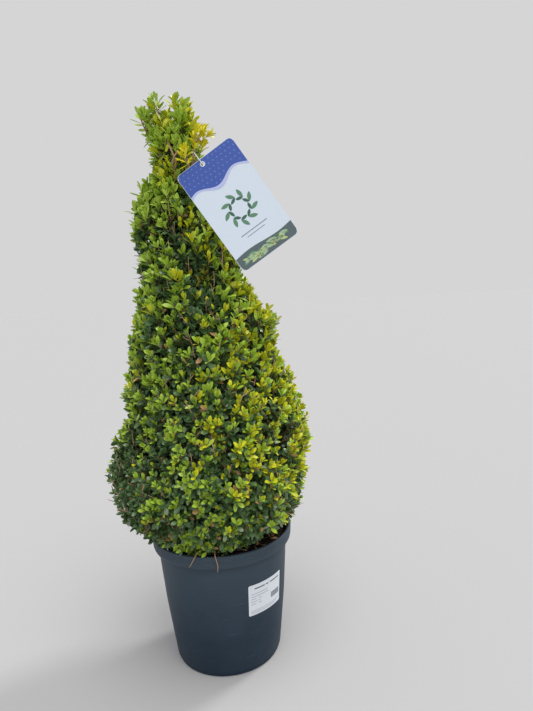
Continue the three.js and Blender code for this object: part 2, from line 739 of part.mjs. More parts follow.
// A thin patch that follows the pot's tapering wall, one clearance off it.
function buildSticker() {
  const patch = new THREE.BoxGeometry(1, 1, 1, STICKER.steps, 1, 1);
  moveVertices(patch, (p) => {
    const height = STICKER.foot + (p.z + 0.5) * STICKER.height;
    const radius = potWall(height) + CLEAR + (p.y + 0.5) * STICKER.thickness;
    const azimuth = degToRad(STICKER.facing) - (p.x * STICKER.width) / potWall(STICKER.foot);
    p.set(radius * Math.cos(azimuth), radius * Math.sin(azimuth), height);
  });
  return solidOf(patch);
}

function meshOf(name, solid, colour, roughness) {
  const material = new THREE.MeshStandardMaterial({ color: colour, roughness, metalness: 0, flatShading: true });
  const mesh = new THREE.Mesh(geometryOf(solid), material);
  mesh.name = name;
  return mesh;
}

// The sunny right side is the most golden, and the left side and the back the deepest green.
function massColour(tier, i) {
  const warm = Math.cos(sectorMiddle(tier, i) + degToRad(20));
  return warm > 0.45 ? COLOURS.leafGold : warm > -0.4 ? COLOURS.leafGreen : COLOURS.leafDeep;
}

const plant = new THREE.Group();
const pot = new THREE.Group();
const topiary = new THREE.Group();
topiary.add(pot, plant);

pot.add(meshOf("pot", buildPot(), COLOURS.pot, 0.55));
pot.add(meshOf("root_ball", buildRootBall(), COLOURS.compost, 0.95));
pot.add(meshOf("pot_sticker", buildSticker(), COLOURS.sticker, 0.5));

const stem = buildStem();
plant.add(meshOf("trunk", stem, COLOURS.bark, 0.85));
const [tipX, tipY, tipZ] = STEM_PATH.at(-1);
const stemRoomPath = curveThrough([...STEM_PATH.slice(0, -1), [tipX, tipY, tipZ + 1.5 * CLEAR]]);
const stemRoom = solidOf(limb(stemRoomPath, (t) => stemRadius(t) + 1.5 * CLEAR, STEM.sides, STEM.steps));

const sideCurve = curveThrough(SIDE_BOUGH_PATH);
const sideRadius = (along) => lerp(SIDE_BOUGH.footRadius, SIDE_BOUGH.tipRadius, along);
const sideBough = solidOf(limb(sideCurve, sideRadius, SIDE_BOUGH.sides, SIDE_BOUGH.steps)).subtract(stemRoom);
plant.add(meshOf("bough_side", wholeBody(sideBough), COLOURS.bark, 0.85));
plant.add(meshOf("foliage_side_spray", buildSideSpray(sideCurve), COLOURS.leafGold, 0.5));

const tagPlace = tagMatrix();
plant.add(meshOf("tag_card", buildTag(tagPlace), COLOURS.card, 0.4));
plant.add(meshOf("tag_tie", buildTie(tagPlace, sideCurve), COLOURS.tie, 0.5));

// Leaves keep out of the room round the limbs, the tag, its tie and the pot's rim.
const sideRoom = solidOf(limb(sideCurve, (t) => sideRadius(t) + LEAF_ROOM, SIDE_BOUGH.sides, SIDE_BOUGH.steps));
const limbRoom = stemRoom.add(sideRoom);
const leafRoom = wasm.Manifold.union([limbRoom, tagRoom(tagPlace), sprayRoom(sideCurve), potRoom()]);
const sites = shootSites();
for (const tier of TIERS) {
  for (let i = 0; i < tier.sectors; i++) {
    const name = `${tier.name}_${SECTOR_NAMES[tier.name][i]}`;
    if (tier.inner) plant.add(meshOf(`bough_${name}`, buildBough(tier, i, stemRoom), COLOURS.bark, 0.85));
    const mass = buildMass(tier, i, sites, leafRoom, limbRoom);
    plant.add(meshOf(`foliage_${name}`, mass, massColour(tier, i), 0.5));
  }
}

export default topiary;
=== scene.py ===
# %% [markdown]
# A box plant clipped to a cone, in its pot
#
# Box is an evergreen shrub with small, tough, glossy leaves. Clipping makes it grow a dense coat of
# short twigs, and each twig ends in a little rosette of young leaves. This lesson dresses a packed
# model of such a plant. The solids give its size and outline, and here they get their real surfaces:
# a moulded pot, crumbly compost, bark, some sixty thousand leaves, a card tag and a sticker.
# The frame comes first, because each piece is placed by it.

# %% Load the imported solids
import math

import bmesh
import bpy
import numpy as np
from mathutils import Euler, Matrix, Vector


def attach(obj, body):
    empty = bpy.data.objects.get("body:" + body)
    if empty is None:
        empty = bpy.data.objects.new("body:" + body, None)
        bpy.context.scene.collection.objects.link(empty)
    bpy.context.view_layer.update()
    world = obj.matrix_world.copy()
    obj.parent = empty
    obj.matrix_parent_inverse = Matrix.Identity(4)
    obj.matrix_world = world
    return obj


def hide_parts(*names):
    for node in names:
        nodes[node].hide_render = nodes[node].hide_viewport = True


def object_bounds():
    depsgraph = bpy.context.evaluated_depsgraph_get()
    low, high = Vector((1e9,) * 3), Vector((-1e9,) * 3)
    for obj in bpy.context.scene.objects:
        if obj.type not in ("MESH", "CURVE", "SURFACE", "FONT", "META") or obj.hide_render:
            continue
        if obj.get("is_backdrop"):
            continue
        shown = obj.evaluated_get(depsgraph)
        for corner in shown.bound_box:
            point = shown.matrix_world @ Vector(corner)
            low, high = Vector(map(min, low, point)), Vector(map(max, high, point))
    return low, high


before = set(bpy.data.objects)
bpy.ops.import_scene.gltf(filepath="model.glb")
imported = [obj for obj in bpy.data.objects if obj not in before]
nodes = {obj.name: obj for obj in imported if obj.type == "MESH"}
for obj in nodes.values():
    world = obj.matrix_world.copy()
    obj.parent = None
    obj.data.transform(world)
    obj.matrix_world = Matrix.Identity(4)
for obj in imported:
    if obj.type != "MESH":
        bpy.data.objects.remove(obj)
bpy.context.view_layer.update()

MM = 0.001
BODY = "root"

# %% [markdown]
# Camera
#
# The picture was taken from about the height of a table top, a little over a metre from the plant.
# A wide lens this close makes near things large, so the camera's place matters as much as its angle.
# It looks slightly down and is rolled a little, which makes the plant lean.

# %% Put the camera where the photograph was taken
IMAGE_HEIGHT = 711
FOCAL_LENGTH = 534
SENSOR_HEIGHT = 24
CAMERA_PLACE = (0.1174, -1.1188, 0.7651)
CAMERA_DOWN = math.radians(6.37)
CAMERA_ROLL = math.radians(-3.15)

camera_data = bpy.data.cameras.new("camera")
camera_data.sensor_fit = "VERTICAL"
camera_data.sensor_height = SENSOR_HEIGHT
camera_data.lens = SENSOR_HEIGHT * FOCAL_LENGTH / IMAGE_HEIGHT
camera = bpy.data.objects.new("camera", camera_data)
bpy.context.scene.collection.objects.link(camera)
level = Euler((math.pi / 2 - CAMERA_DOWN, 0, 0)).to_matrix().to_4x4()
camera.matrix_world = Matrix.Translation(CAMERA_PLACE) @ level @ Matrix.Rotation(CAMERA_ROLL, 4, "Z")
bpy.context.scene.camera = camera
print("The lens is", round(camera_data.lens, 2), "mm on a sensor", SENSOR_HEIGHT, "mm high")

# %% [markdown]
# Materials
#
# Every finish starts from one shader. What is the same all over a surface is set on the shader
# itself. A pattern is made of a few nodes that read the piece's own coordinates, in metres, so the
# scale of a pattern is one over its real size. Colours are written as they look on a screen, and one
# function turns them into the linear values that light needs.

# %% Helpers for materials
# The sockets of a Mix node that mixes colours: how much of B, its two colours and what comes out.
SHARE, COLOUR_A, COLOUR_B, MIXED = 0, 6, 7, 2


def linear(colour):
    """The linear colour of a screen colour such as #8a6f55."""
    channels = [int(colour[i : i + 2], 16) / 255 for i in (1, 3, 5)]
    return [c / 12.92 if c <= 0.04045 else ((c + 0.055) / 1.055) ** 2.4 for c in channels] + [1]


def finish(name, colour, roughness, **sockets):
    """A material of one colour, with other values of its shader's sockets."""
    material = bpy.data.materials.new(name)
    material.use_nodes = True
    shader = material.node_tree.nodes["Principled BSDF"]
    shader.inputs["Base Color"].default_value = linear(colour)
    shader.inputs["Roughness"].default_value = roughness
    for socket, value in sockets.items():
        shader.inputs[socket.replace("_", " ")].default_value = value
    return material


def add_node(material, kind, inputs, **settings):
    """Adds a node with its settings. An input takes a value, or follows another node's output."""
    node = material.node_tree.nodes.new(kind)
    for name, value in settings.items():
        setattr(node, name, value)
    for name, value in inputs.items():
        if isinstance(value, bpy.types.NodeSocket):
            material.node_tree.links.new(value, node.inputs[name])
        else:
            node.inputs[name].default_value = value
    return node


def feed_shader(material, socket, output):
    """Lets a node's output set a socket of the material's shader."""
    shader = material.node_tree.nodes["Principled BSDF"]
    material.node_tree.links.new(output, shader.inputs[socket])


def per_metre(size):
    """The scale of a pattern whose features are this many millimetres apart."""
    return 1 / (size * MM)


# %% [markdown]
# Floor, light and air
#
# The plant stood outdoors under a bright, half clouded sky. Here it stands on a plain pale floor. Two
# nearly white lamps shine from so far off that they light the floor evenly: a very wide, soft one high
# up in front stands for the bright sky, and a smaller one behind on the right stands for the sun and
# lights the golden side. The pale air fills the shadows. The floor's paint is as much darker than the
# air as the lamps make up for, so its far edge is lost.

# %% Floor, air and lamps
FLOOR_RADIUS = 60
AIR = 0.715
SKY_POWER, SKY_WIDTH = 2.0, 48
SUN_POWER, SUN_WIDTH = 1.5, 14


def far_lamp(name, towards, width, power, colour):
    """A lamp far off in a direction. Its width in degrees sets how soft its shadows are."""
    lamp_data = bpy.data.lights.new(name, "SUN")
    lamp_data.angle = math.radians(width)
    lamp_data.energy = power
    lamp_data.color = linear(colour)[:3]
    lamp = bpy.data.objects.new(name, lamp_data)
    bpy.context.scene.collection.objects.link(lamp)
    lamp.rotation_euler = (-Vector(towards)).to_track_quat("-Z", "Y").to_euler()


bpy.ops.object.select_all(action="DESELECT")
bpy.ops.mesh.primitive_circle_add(vertices=128, radius=FLOOR_RADIUS, fill_type="NGON")
floor = bpy.context.object
floor.name = "floor"
floor.data.materials.append(finish("floor_pale_matt_paint", "#aeaeb1", 0.95, Specular_IOR_Level=0.1))
floor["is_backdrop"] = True

world = bpy.data.worlds.new("pale_air")
world.use_nodes = True
background = world.node_tree.nodes["Background"]
background.inputs["Color"].default_value = linear("#f7f7f7")
background.inputs["Strength"].default_value = AIR
bpy.context.scene.world = world

far_lamp("sky_lamp", (0.2, -0.6, 1.5), SKY_WIDTH, SKY_POWER, "#fffdf8")
far_lamp("sun_lamp", (0.8, 0.6, 0.9), SUN_WIDTH, SUN_POWER, "#fffcf4")
bpy.context.scene.view_settings.view_transform = "Standard"
print("Two lamps light the plant")

# %% [markdown]
# Shaping pieces by hand
#
# Most made things here start as a primitive and are shaped in edit mode. These helpers select parts of a
# mesh by their place, drill it, and hand a finished piece to the frame: it rides on the plant's one body.

# %% Helpers for modelling
def start(add, **settings):
    """Adds a primitive with nothing else selected and returns it in edit mode."""
    bpy.ops.object.select_all(action="DESELECT")
    add(**settings)
    bpy.ops.object.mode_set(mode="EDIT")
    return bpy.context.object


def pick(piece, test, kind="verts"):
    """Selects the vertices or edges of a piece in edit mode that pass a test."""
    mesh = bmesh.from_edit_mesh(piece.data)
    bpy.ops.mesh.select_all(action="DESELECT")
    bpy.ops.mesh.select_mode(type={"verts": "VERT", "edges": "EDGE"}[kind])
    for part in getattr(mesh, kind):
        if test(part):
            part.select_set(True)
    mesh.select_flush_mode()
    bmesh.update_edit_mesh(piece.data)


def lift(height):
    """Extrudes what is selected upwards."""
    bpy.ops.mesh.extrude_region_move(TRANSFORM_OT_translate={"value": (0, 0, height)})


def close_shape():
    """Merges doubles, turns all faces outwards and leaves edit mode."""
    bpy.ops.mesh.select_all(action="SELECT")
    bpy.ops.mesh.remove_doubles(threshold=1e-6)
    bpy.ops.mesh.normals_make_consistent(inside=False)
    bpy.ops.object.mode_set(mode="OBJECT")


def drill_out(piece, **settings):
    """Drills a hole through a piece with a cylinder, which is removed again."""
    drill = start(bpy.ops.mesh.primitive_cylinder_add, **settings)
    bpy.ops.object.mode_set(mode="OBJECT")
    bpy.context.view_layer.objects.active = piece
    hole = piece.modifiers.new("hole", "BOOLEAN")
    hole.operation = "DIFFERENCE"
    hole.object = drill
    hole.solver = "EXACT"
    bpy.ops.object.modifier_apply(modifier=hole.name)
    bpy.data.objects.remove(drill)


def join(pieces):
    """Joins pieces into the first one."""
    bpy.ops.object.select_all(action="DESELECT")
    for piece in pieces:
        piece.select_set(True)
    bpy.context.view_layer.objects.active = pieces[0]
    bpy.ops.object.join()
    return pieces[0]


# %% Helpers for handing pieces over
def give_materials(piece, materials):
    """Gives a piece these materials in place of its own."""
    piece.data.materials.clear()
    for material in materials:
        piece.data.materials.append(material)


def hand_over(piece, name, materials, replaced=(), smooth=None):
    """Names a finished piece, gives it its materials and joins it to the frame."""
    piece.name = name
    piece.data.name = name
    if materials:
        give_materials(piece, materials)
    if smooth is not None:
        bpy.ops.object.select_all(action="DESELECT")
        piece.select_set(True)
        bpy.context.view_layer.objects.active = piece
        bpy.ops.object.shade_smooth_by_angle(angle=math.radians(smooth))
    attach(piece, BODY)
    if replaced:
        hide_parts(*replaced)
    print(name, "has", len(piece.data.polygons), "faces")


# %% [markdown]
# The pot
#
# A nursery pot is injection moulded from recycled polypropylene. It is thin, matt and slate black,
# with a foot that steps in so that pots can stand on each other, and a broad band at its rim that
# stiffens it. Three fine ribs run round the band. The pot is raised from a filled circle: its face is
# lifted and scaled row by row up the outside, over the rim and down the inside to the floor.

# %% Model the pot
POT_SIDES = 144
FOOT_RADIUS = 114
STEP = 2.5
FOOT_BEVEL = 4
WALL = 2.2
FLOOR = 3
RIM_HEIGHT = 275
RIM_RADIUS = 150
RIM_WIDTH = 6
BAND_FOOT, BAND_RADIUS = 250, 147.5
RIB, RIB_FOOT, RIB_CREST = 0.6, 1.3, 0.5
RIB_HEIGHTS = (256.5, 262, 267.5)
POT_WALL = [(10.5, FOOT_RADIUS), (60, 120), (130, 128.4), (190, 133.4), (247, 138)]


def rib_rows(height):
    """Four rows that raise one rib round the band, which widens upwards."""
    radius = np.interp(height, [BAND_FOOT, RIM_HEIGHT], [BAND_RADIUS, RIM_RADIUS - 0.4])
    sides = ((-RIB_FOOT, 0), (-RIB_CREST, RIB), (RIB_CREST, RIB), (RIB_FOOT, 0))
    return [(height + up, radius + out) for up, out in sides]


pot_rows = [
    (0, FOOT_RADIUS - STEP - FOOT_BEVEL),
    (1.2, FOOT_RADIUS - STEP - 1.2),
    (FOOT_BEVEL, FOOT_RADIUS - STEP),
    (8, FOOT_RADIUS - STEP),
    (9.6, FOOT_RADIUS - 0.4),
    *POT_WALL,
    (BAND_FOOT - 0.6, 146.6),
    (BAND_FOOT + 1.2, BAND_RADIUS),
    *[row for height in RIB_HEIGHTS for row in rib_rows(height)],
    (RIM_HEIGHT - 2.4, RIM_RADIUS - 0.2),
    (RIM_HEIGHT - 0.8, RIM_RADIUS - 0.8),
    (RIM_HEIGHT, RIM_RADIUS - 2),
    (RIM_HEIGHT, RIM_RADIUS - RIM_WIDTH + 0.8),
    (RIM_HEIGHT - 0.8, RIM_RADIUS - RIM_WIDTH),
    # Down the inside, the wall is followed at two of its heights.
    *[(height, radius - WALL) for height, radius in (POT_WALL[4], POT_WALL[2])],
    (FLOOR + 8, FOOT_RADIUS - STEP - WALL),
    (FLOOR, FOOT_RADIUS - STEP - WALL - FOOT_BEVEL),
]
pot_circle = {"vertices": POT_SIDES, "radius": pot_rows[0][1] * MM, "fill_type": "NGON"}
pot = start(bpy.ops.mesh.primitive_circle_add, **pot_circle)
for (height, radius), (next_height, next_radius) in zip(pot_rows, pot_rows[1:]):
    lift((next_height - height) * MM)
    bpy.ops.transform.resize(value=(next_radius / radius, next_radius / radius, 1))
close_shape()
print("The pot is", [round(size / MM) for size in pot.dimensions], "millimetres across and high")

# %% [markdown]
# Water leaves through six holes in the floor. A drill for each is added, and the Boolean modifier
# takes them away from the pot.

# %% Drill the drain holes
DRAINS = 6
DRAIN_RADIUS = 7
DRAIN_RING = 86

for i in range(DRAINS):
    azimuth = math.radians(60 * i + 30)
    place = (DRAIN_RING * MM * math.cos(azimuth), DRAIN_RING * MM * math.sin(azimuth), 0)
    drill_out(pot, vertices=24, radius=DRAIN_RADIUS * MM, depth=0.02, location=place)
print("The floor has", DRAINS, "drain holes")

# %% [markdown]
# Moulded polypropylene is slate black here. It has a faint bloom where it has weathered, scuffs that run
# round it, specks of dust and a fine grain from the mould. From low on its wall up to its rim it is painted
# lighter and greyer, a painted light from above on the band. The grain of the real pot is under half a
# millimetre, and it is drawn at one millimetre so that it shows.

# %% Finish the pot
GRAIN_SIZE = 1.0
# The height in metres from which the wall is painted lighter up to the rim, as painted light.
PAINTED_RIM_LIGHT_FROM = 0.08

pot_plastic = finish("pot_moulded_polypropylene", "#2a343f", 0.55, Specular_IOR_Level=0.22)
place = add_node(pot_plastic, "ShaderNodeTexCoord", {}).outputs["Object"]
bloom = add_node(
    pot_plastic,
    "ShaderNodeTexNoise",
    {"Vector": place, "Scale": per_metre(70), "Detail": 5, "Roughness": 0.62},
)
shades = {SHARE: bloom.outputs["Fac"], COLOUR_A: linear("#172633"), COLOUR_B: linear("#293b4c")}
colour = add_node(pot_plastic, "ShaderNodeMix", shades, data_type="RGBA")

upwards = add_node(pot_plastic, "ShaderNodeSeparateXYZ", {"Vector": place}).outputs["Z"]
flattened = add_node(pot_plastic, "ShaderNodeMapping", {"Vector": place, "Scale": (1, 1, 11)})
rubbed = add_node(
    pot_plastic,
    "ShaderNodeTexNoise",
    {"Vector": flattened.outputs["Vector"], "Scale": per_metre(38), "Detail": 4, "Roughness": 0.6},
)
dust = add_node(
    pot_plastic,
    "ShaderNodeTexNoise",
    {"Vector": place, "Scale": per_metre(3.2), "Detail": 3, "Roughness": 0.7},
)
# What lies over the bloom: painted light that grows up to the rim, then scuffs and dust. Each row gives its
# colour, what it follows, between which values it comes up, and how far.
for tint, follows, low, high, most in (
    ("#55636f", upwards, PAINTED_RIM_LIGHT_FROM, RIM_HEIGHT * MM, 0.46),
    ("#5d6b77", rubbed.outputs["Fac"], 0.62, 0.74, 0.25),
    ("#8f8c82", dust.outputs["Fac"], 0.69, 0.78, 0.5),
):
    reach = {"Value": follows, "From Min": low, "From Max": high, "To Max": most}
    share = add_node(pot_plastic, "ShaderNodeMapRange", reach).outputs["Result"]
    shades = {SHARE: share, COLOUR_A: colour.outputs[MIXED], COLOUR_B: linear(tint)}
    colour = add_node(pot_plastic, "ShaderNodeMix", shades, data_type="RGBA")
feed_shader(pot_plastic, "Base Color", colour.outputs[MIXED])

grain = add_node(
    pot_plastic, "ShaderNodeTexNoise", {"Vector": place, "Scale": per_metre(GRAIN_SIZE), "Detail": 2}
)
dents = {"Height": grain.outputs["Fac"], "Strength": 0.12, "Distance": 0.0006}
feed_shader(pot_plastic, "Normal", add_node(pot_plastic, "ShaderNodeBump", dents).outputs["Normal"])
hand_over(pot, "pot_moulded", [pot_plastic], ["pot"], smooth=32)

# %% [markdown]
# Directions, curves and many copies
#
# Twigs and leaves stand in tens of thousands, so they aren't modelled one by one. One copy is made
# by hand, and all copies are then placed at once with arrays: each array holds one value for each of
# them. The copies are joined in one mesh, because thousands of objects would choke the file.

# %% Helpers for directions and curves
def unit(vectors):
    """Vectors of length one."""
    return vectors / np.maximum(np.linalg.norm(vectors, axis=-1, keepdims=True), 1e-12)


def across(ahead, reference=(0.31, 0.17, 0.94)):
    """Two directions square to each direction and to each other."""
    side = unit(np.cross(ahead, reference))
    return side, np.cross(ahead, side)


def square_to(vectors, axes):
    """What is left of vectors without their stretch along an axis of length one."""
    return vectors - axes * np.sum(vectors * axes, axis=-1, keepdims=True)


def between(first, second, angle):
    """Directions turned by an angle from the first ones towards the second ones."""
    return first * np.cos(angle)[..., None] + second * np.sin(angle)[..., None]


def around(distance, azimuth, height):
    """Points round the upright axis."""
    return np.stack([distance * np.cos(azimuth), distance * np.sin(azimuth), height], axis=-1)


def smooth_path(rows, share):
    """Points of a smooth curve through rows, at shares of its length."""
    rows = np.asarray(rows, float)
    padded = np.concatenate([2 * rows[:1] - rows[1:2], rows, 2 * rows[-1:] - rows[-2:-1]])
    place = np.clip(np.asarray(share, float), 0, 1) * (len(rows) - 1)
    i = np.minimum(place.astype(int), len(rows) - 2)
    t = (place - i)[..., None]
    a, b, c, d = padded[i], padded[i + 1], padded[i + 2], padded[i + 3]
    return b + t / 2 * (c - a + t * (2 * a - 5 * b + 4 * c - d + t * (3 * (b - c) + d - a)))


def bow(first, middle, last, share):
    """Points of curves with three control points each."""
    share = share[..., None]
    return (1 - share) ** 2 * first + 2 * share * (1 - share) * middle + share**2 * last


# %% Helpers for many copies
def read_corners(piece):
    """The places of a piece's vertices."""
    return np.array([v.co for v in piece.data.vertices])


def read_pattern(piece):
    """The corners and triangles of a small piece that will be copied. The piece itself is removed."""
    piece.data.calc_loop_triangles()
    corners = read_corners(piece)
    faces = np.array([t.vertices for t in piece.data.loop_triangles])
    bpy.data.objects.remove(piece)
    return corners, faces


def move_corners(piece, places):
    """Moves a piece's vertices to places in millimetres."""
    piece.data.vertices.foreach_set("co", (places * MM).astype(np.float32).ravel())
    piece.data.update()


def join_copies(name, parts, finishes, replaced=()):
    """Joins copies as one piece. A part is the corners of its copies, one copy's faces, and shades."""
    places, faces, shades = [], [], []
    base = 0
    for corners, one_face, shade in parts:
        copies, size, _ = corners.shape
        first = base + size * np.arange(copies)
        places.append(corners.reshape(-1, 3))
        faces.append((one_face[None] + first[:, None, None]).reshape(-1, 3))
        shades.append(np.repeat(np.broadcast_to(shade, copies), len(one_face)))
        base += copies * size
    places, faces, shades = np.concatenate(places), np.concatenate(faces), np.concatenate(shades)
    mesh = bpy.data.meshes.new(name)
    mesh.vertices.add(len(places))
    mesh.vertices.foreach_set("co", places.astype(np.float32).ravel())
    mesh.loops.add(faces.size)
    mesh.loops.foreach_set("vertex_index", faces.astype(np.int32).ravel())
    mesh.polygons.add(len(faces))
    mesh.polygons.foreach_set("loop_start", np.arange(0, faces.size, 3, dtype=np.int32))
    mesh.polygons.foreach_set("material_index", shades.astype(np.int32))
    mesh.polygons.foreach_set("use_smooth", np.ones(len(faces), bool))
    mesh.update(calc_edges=True)
    mesh.validate()
    piece = bpy.data.objects.new(name, mesh)
    bpy.context.scene.collection.objects.link(piece)
    hand_over(piece, name, finishes, replaced)


# %% [markdown]
# The compost
#
# The solid root ball keeps its shape and gets the brown of damp peat and bark. Its surface alone
# would look like a smooth lid, so loose crumbs lie on it. One crumb is a dented ball of twenty faces,
# and some thousands of copies are dealt out in one joined mesh, each turned and sized by chance.

# %% Finish the root ball and strew crumbs on it
COMPOST_EDGE, COMPOST_MIDDLE = 255, 262
SLOPE_FROM, SLOPE_TO, SLOPE_HEIGHT = 0.034, 0.104, 258
CRUMBS = 3400
CRUMB_SIZES = (1.2, 4.6)
CRUMB_SHOWS = 0.35
inner_radius = (POT_WALL[-1][1] - WALL - 3) * MM


def random_turns(rng, count):
    """Random rotations, as matrices whose rows are three square axes."""
    first = unit(rng.normal(size=(count, 3)))
    second = unit(np.cross(first, rng.normal(size=(count, 3))))
    return np.stack([first, second, np.cross(first, second)], axis=1)


crumb = start(bpy.ops.mesh.primitive_ico_sphere_add, subdivisions=1, radius=1)
pick(crumb, lambda v: v.co.z > 0.4 or v.co.x < -0.5)
bpy.ops.transform.resize(value=(0.62, 0.8, 0.7))
close_shape()
crumb_corners, crumb_faces = read_pattern(crumb)

rng = np.random.default_rng(31)
distance = inner_radius * np.sqrt(rng.uniform(0.02, 1, CRUMBS))
turn = rng.uniform(0, 2 * math.pi, CRUMBS)
slope = [SLOPE_FROM, SLOPE_TO, inner_radius], [COMPOST_MIDDLE, SLOPE_HEIGHT, COMPOST_EDGE]
size = rng.uniform(*CRUMB_SIZES, CRUMBS) * rng.uniform(0.5, 1, CRUMBS) * MM
crumb_place = around(distance, turn, np.interp(distance, *slope) * MM + size * CRUMB_SHOWS)
turned = np.einsum("vi,nij->nvj", crumb_corners, random_turns(rng, CRUMBS)) * size[:, None, None]
crumbs = [(turned + crumb_place[:, None], crumb_faces, rng.integers(0, 3, CRUMBS))]
crumb_shades = [
    finish("compost_damp_peat", "#2a1d16", 0.95),
    finish("compost_bark_crumb", "#4a3324", 0.9),
    finish("compost_dry_fibre", "#6d5139", 0.92),
]
join_copies("compost_crumbs", crumbs, crumb_shades)

root_ball_peat = finish("root_ball_peat", "#2b1e17", 0.96)
place = add_node(root_ball_peat, "ShaderNodeTexCoord", {}).outputs["Object"]
lumps = add_node(
    root_ball_peat,
    "ShaderNodeTexNoise",
    {"Vector": place, "Scale": per_metre(6), "Detail": 6, "Roughness": 0.7},
)
shades = {SHARE: lumps.outputs["Fac"], COLOUR_A: linear("#1c130e"), COLOUR_B: linear("#4b3627")}
brown = add_node(root_ball_peat, "ShaderNodeMix", shades, data_type="RGBA")
feed_shader(root_ball_peat, "Base Color", brown.outputs[MIXED])
give_materials(nodes["root_ball"], [root_ball_peat])

# %% [markdown]
# The crown's shape
#
# The rule that grew the solids is written here again. Tables say how wide the clipped crown is at
# each height, how far its middle leans to the left, and how steeply shoots rise. Waves run round the
# crown, and three lobes stand out at its tip. Everything that grows below is placed by these.

# %% The crown's outline and the way shoots rise
GOLDEN_ANGLE = math.pi * (3 - math.sqrt(5))
CROWN_FOOT, CROWN_TOP = 0.262, 1.2
CROWN_RADIUS = [
    (262, 126), (300, 171), (345, 210), (415, 228), (520, 198), (660, 160), (780, 130),
    (900, 104), (985, 81), (1050, 65), (1110, 58), (1160, 51), (1188, 33), (1200, 12),
]
CROWN_MIDDLE = [
    (262, -10), (370, -19), (500, -8), (640, -4), (740, -17), (900, -33), (1060, -37), (1200, -46),
]
SHOOT_RISE = [(262, -28), (340, 4), (415, 22), (600, 38), (860, 46), (1000, 52), (1120, 62), (1200, 82)]
WAVES = [(0.03, 3, 0.09), (0.02, 5, -0.06)]
LOBE_DEPTH, LOBE_COUNT, LOBE_FACING = 0.22, 3, math.radians(190)
LOBE_FROM, LOBE_TO = 1.08, 1.15


def value_at(table, height):
    """The value of a table of millimetre rows at a height in metres."""
    heights, values = np.array(table, float).T
    return np.interp(height, heights * MM, values)


def smooth_step(value, low, high):
    """Rises smoothly from 0 at low to 1 at high."""
    share = np.clip((value - low) / (high - low), 0, 1)
    return share * share * (3 - 2 * share)


def lobes(height, azimuth):
    """What the crown's radius is multiplied by in a direction."""
    waves = sum(depth * np.sin(count * azimuth + height / length) for depth, count, length in WAVES)
    tip = LOBE_DEPTH * smooth_step(height, LOBE_FROM, LOBE_TO) * np.cos(LOBE_COUNT * (azimuth - LOBE_FACING))
    return 1 + waves + tip


def crown_middle(height):
    """The x of the crown's middle at a height."""
    return value_at(CROWN_MIDDLE, height) * MM


def crown_reach(height, azimuth):
    """The crown's radius at a height in a direction."""
    return value_at(CROWN_RADIUS, height) * MM * lobes(height, azimuth)


def crown_point(height, azimuth, depth):
    """A point at a depth inside the crown's outline."""
    point = around(np.maximum(crown_reach(height, azimuth) - depth, 0), azimuth, height)
    point[..., 0] += crown_middle(height)
    return point


print("The crown is", round(2000 * float(crown_reach(0.415, 0))), "mm across at its widest")

# %% [markdown]
# Trunk and boughs
#
# The stem of an old box plant is pale tan, with thin, corky bark that splits lengthwise. It rises
# from a flared foot, and each bough leaves it and bends out to its mass of foliage. Each limb is a
# cylinder. Cuts divide it along its length, its rings are moved on to the limb's course, and furrows
# are pressed into it as the rings are placed.

# %% Helpers for limbs
STEM_PATH = [
    (0, 0, 262.3), (-4, 3, 360), (-7, -3, 500), (-6, 3, 640),
    (-16, -2, 780), (-31, 2, 900), (-38, -1, 1005), (-44, 0, 1096),
]
STEM_LOW, STEM_TIP, STEM_FOOT, FLARE, STEM_TAPER = 10, 2.8, 17, 14, 0.85
FURROW_DEPTH, KNOB_DEPTH, BARK_TWIST = 0.1, 0.04, 1.3
STEP_ALONG = 0.004


def limb(rows, radius_at, cuts, sides=20):
    """A closed limb along a path, with furrowed bark."""
    piece = start(bpy.ops.mesh.primitive_cylinder_add, vertices=sides, radius=1, depth=1)
    pick(piece, lambda e: abs(e.verts[0].co.z - e.verts[1].co.z) > 0.5, "edges")
    bpy.ops.mesh.subdivide(number_cuts=cuts)
    close_shape()
    corners = read_corners(piece)
    share = corners[:, 2] + 0.5
    ahead = unit(smooth_path(rows, share + STEP_ALONG) - smooth_path(rows, share - STEP_ALONG))
    side, other = across(ahead, (0.1, 1.0, 0.2))
    angle = np.arctan2(corners[:, 1], corners[:, 0])
    twist = angle + BARK_TWIST * share
    furrows = np.abs(np.sin(4 * twist + 1.1 * np.sin(9 * share)))
    furrows = furrows + 0.5 * np.abs(np.sin(9 * twist + 17 * share))
    knobs = 1 + KNOB_DEPTH * np.sin(31 * share + 2 * angle)
    radius = radius_at(share) * (1 - FURROW_DEPTH + FURROW_DEPTH * furrows) * knobs
    places = smooth_path(rows, share) + between(side, other, angle) * radius[:, None]
    places[:, 2] = np.maximum(places[:, 2], STEM_PATH[0][2])
    move_corners(piece, places)
    return piece


def stem_radius(share):
    """The stem tapers, and flares at its foot."""
    length = STEM_PATH[-1][2] - STEM_PATH[0][2]
    taper = (STEM_TIP - STEM_LOW) * share**STEM_TAPER
    return STEM_LOW + taper + (STEM_FOOT - STEM_LOW) * np.exp(-share * length / FLARE)


# %% Model the trunk
bark = finish("box_bark_corky", "#8d745b", 0.82)
place = add_node(bark, "ShaderNodeTexCoord", {}).outputs["Object"]
stretch = add_node(bark, "ShaderNodeMapping", {"Vector": place, "Scale": (1, 1, 0.22)})
fibres = add_node(
    bark,
    "ShaderNodeTexNoise",
    {"Vector": stretch.outputs["Vector"], "Scale": per_metre(5), "Detail": 7, "Roughness": 0.66},
)
shades = {SHARE: fibres.outputs["Fac"], COLOUR_A: linear("#5c4736"), COLOUR_B: linear("#b79a7c")}
tan_and_grey = add_node(bark, "ShaderNodeMix", shades, data_type="RGBA")
feed_shader(bark, "Base Color", tan_and_grey.outputs[MIXED])
dents = {"Height": fibres.outputs["Fac"], "Strength": 0.5, "Distance": 0.001}
feed_shader(bark, "Normal", add_node(bark, "ShaderNodeBump", dents).outputs["Normal"])

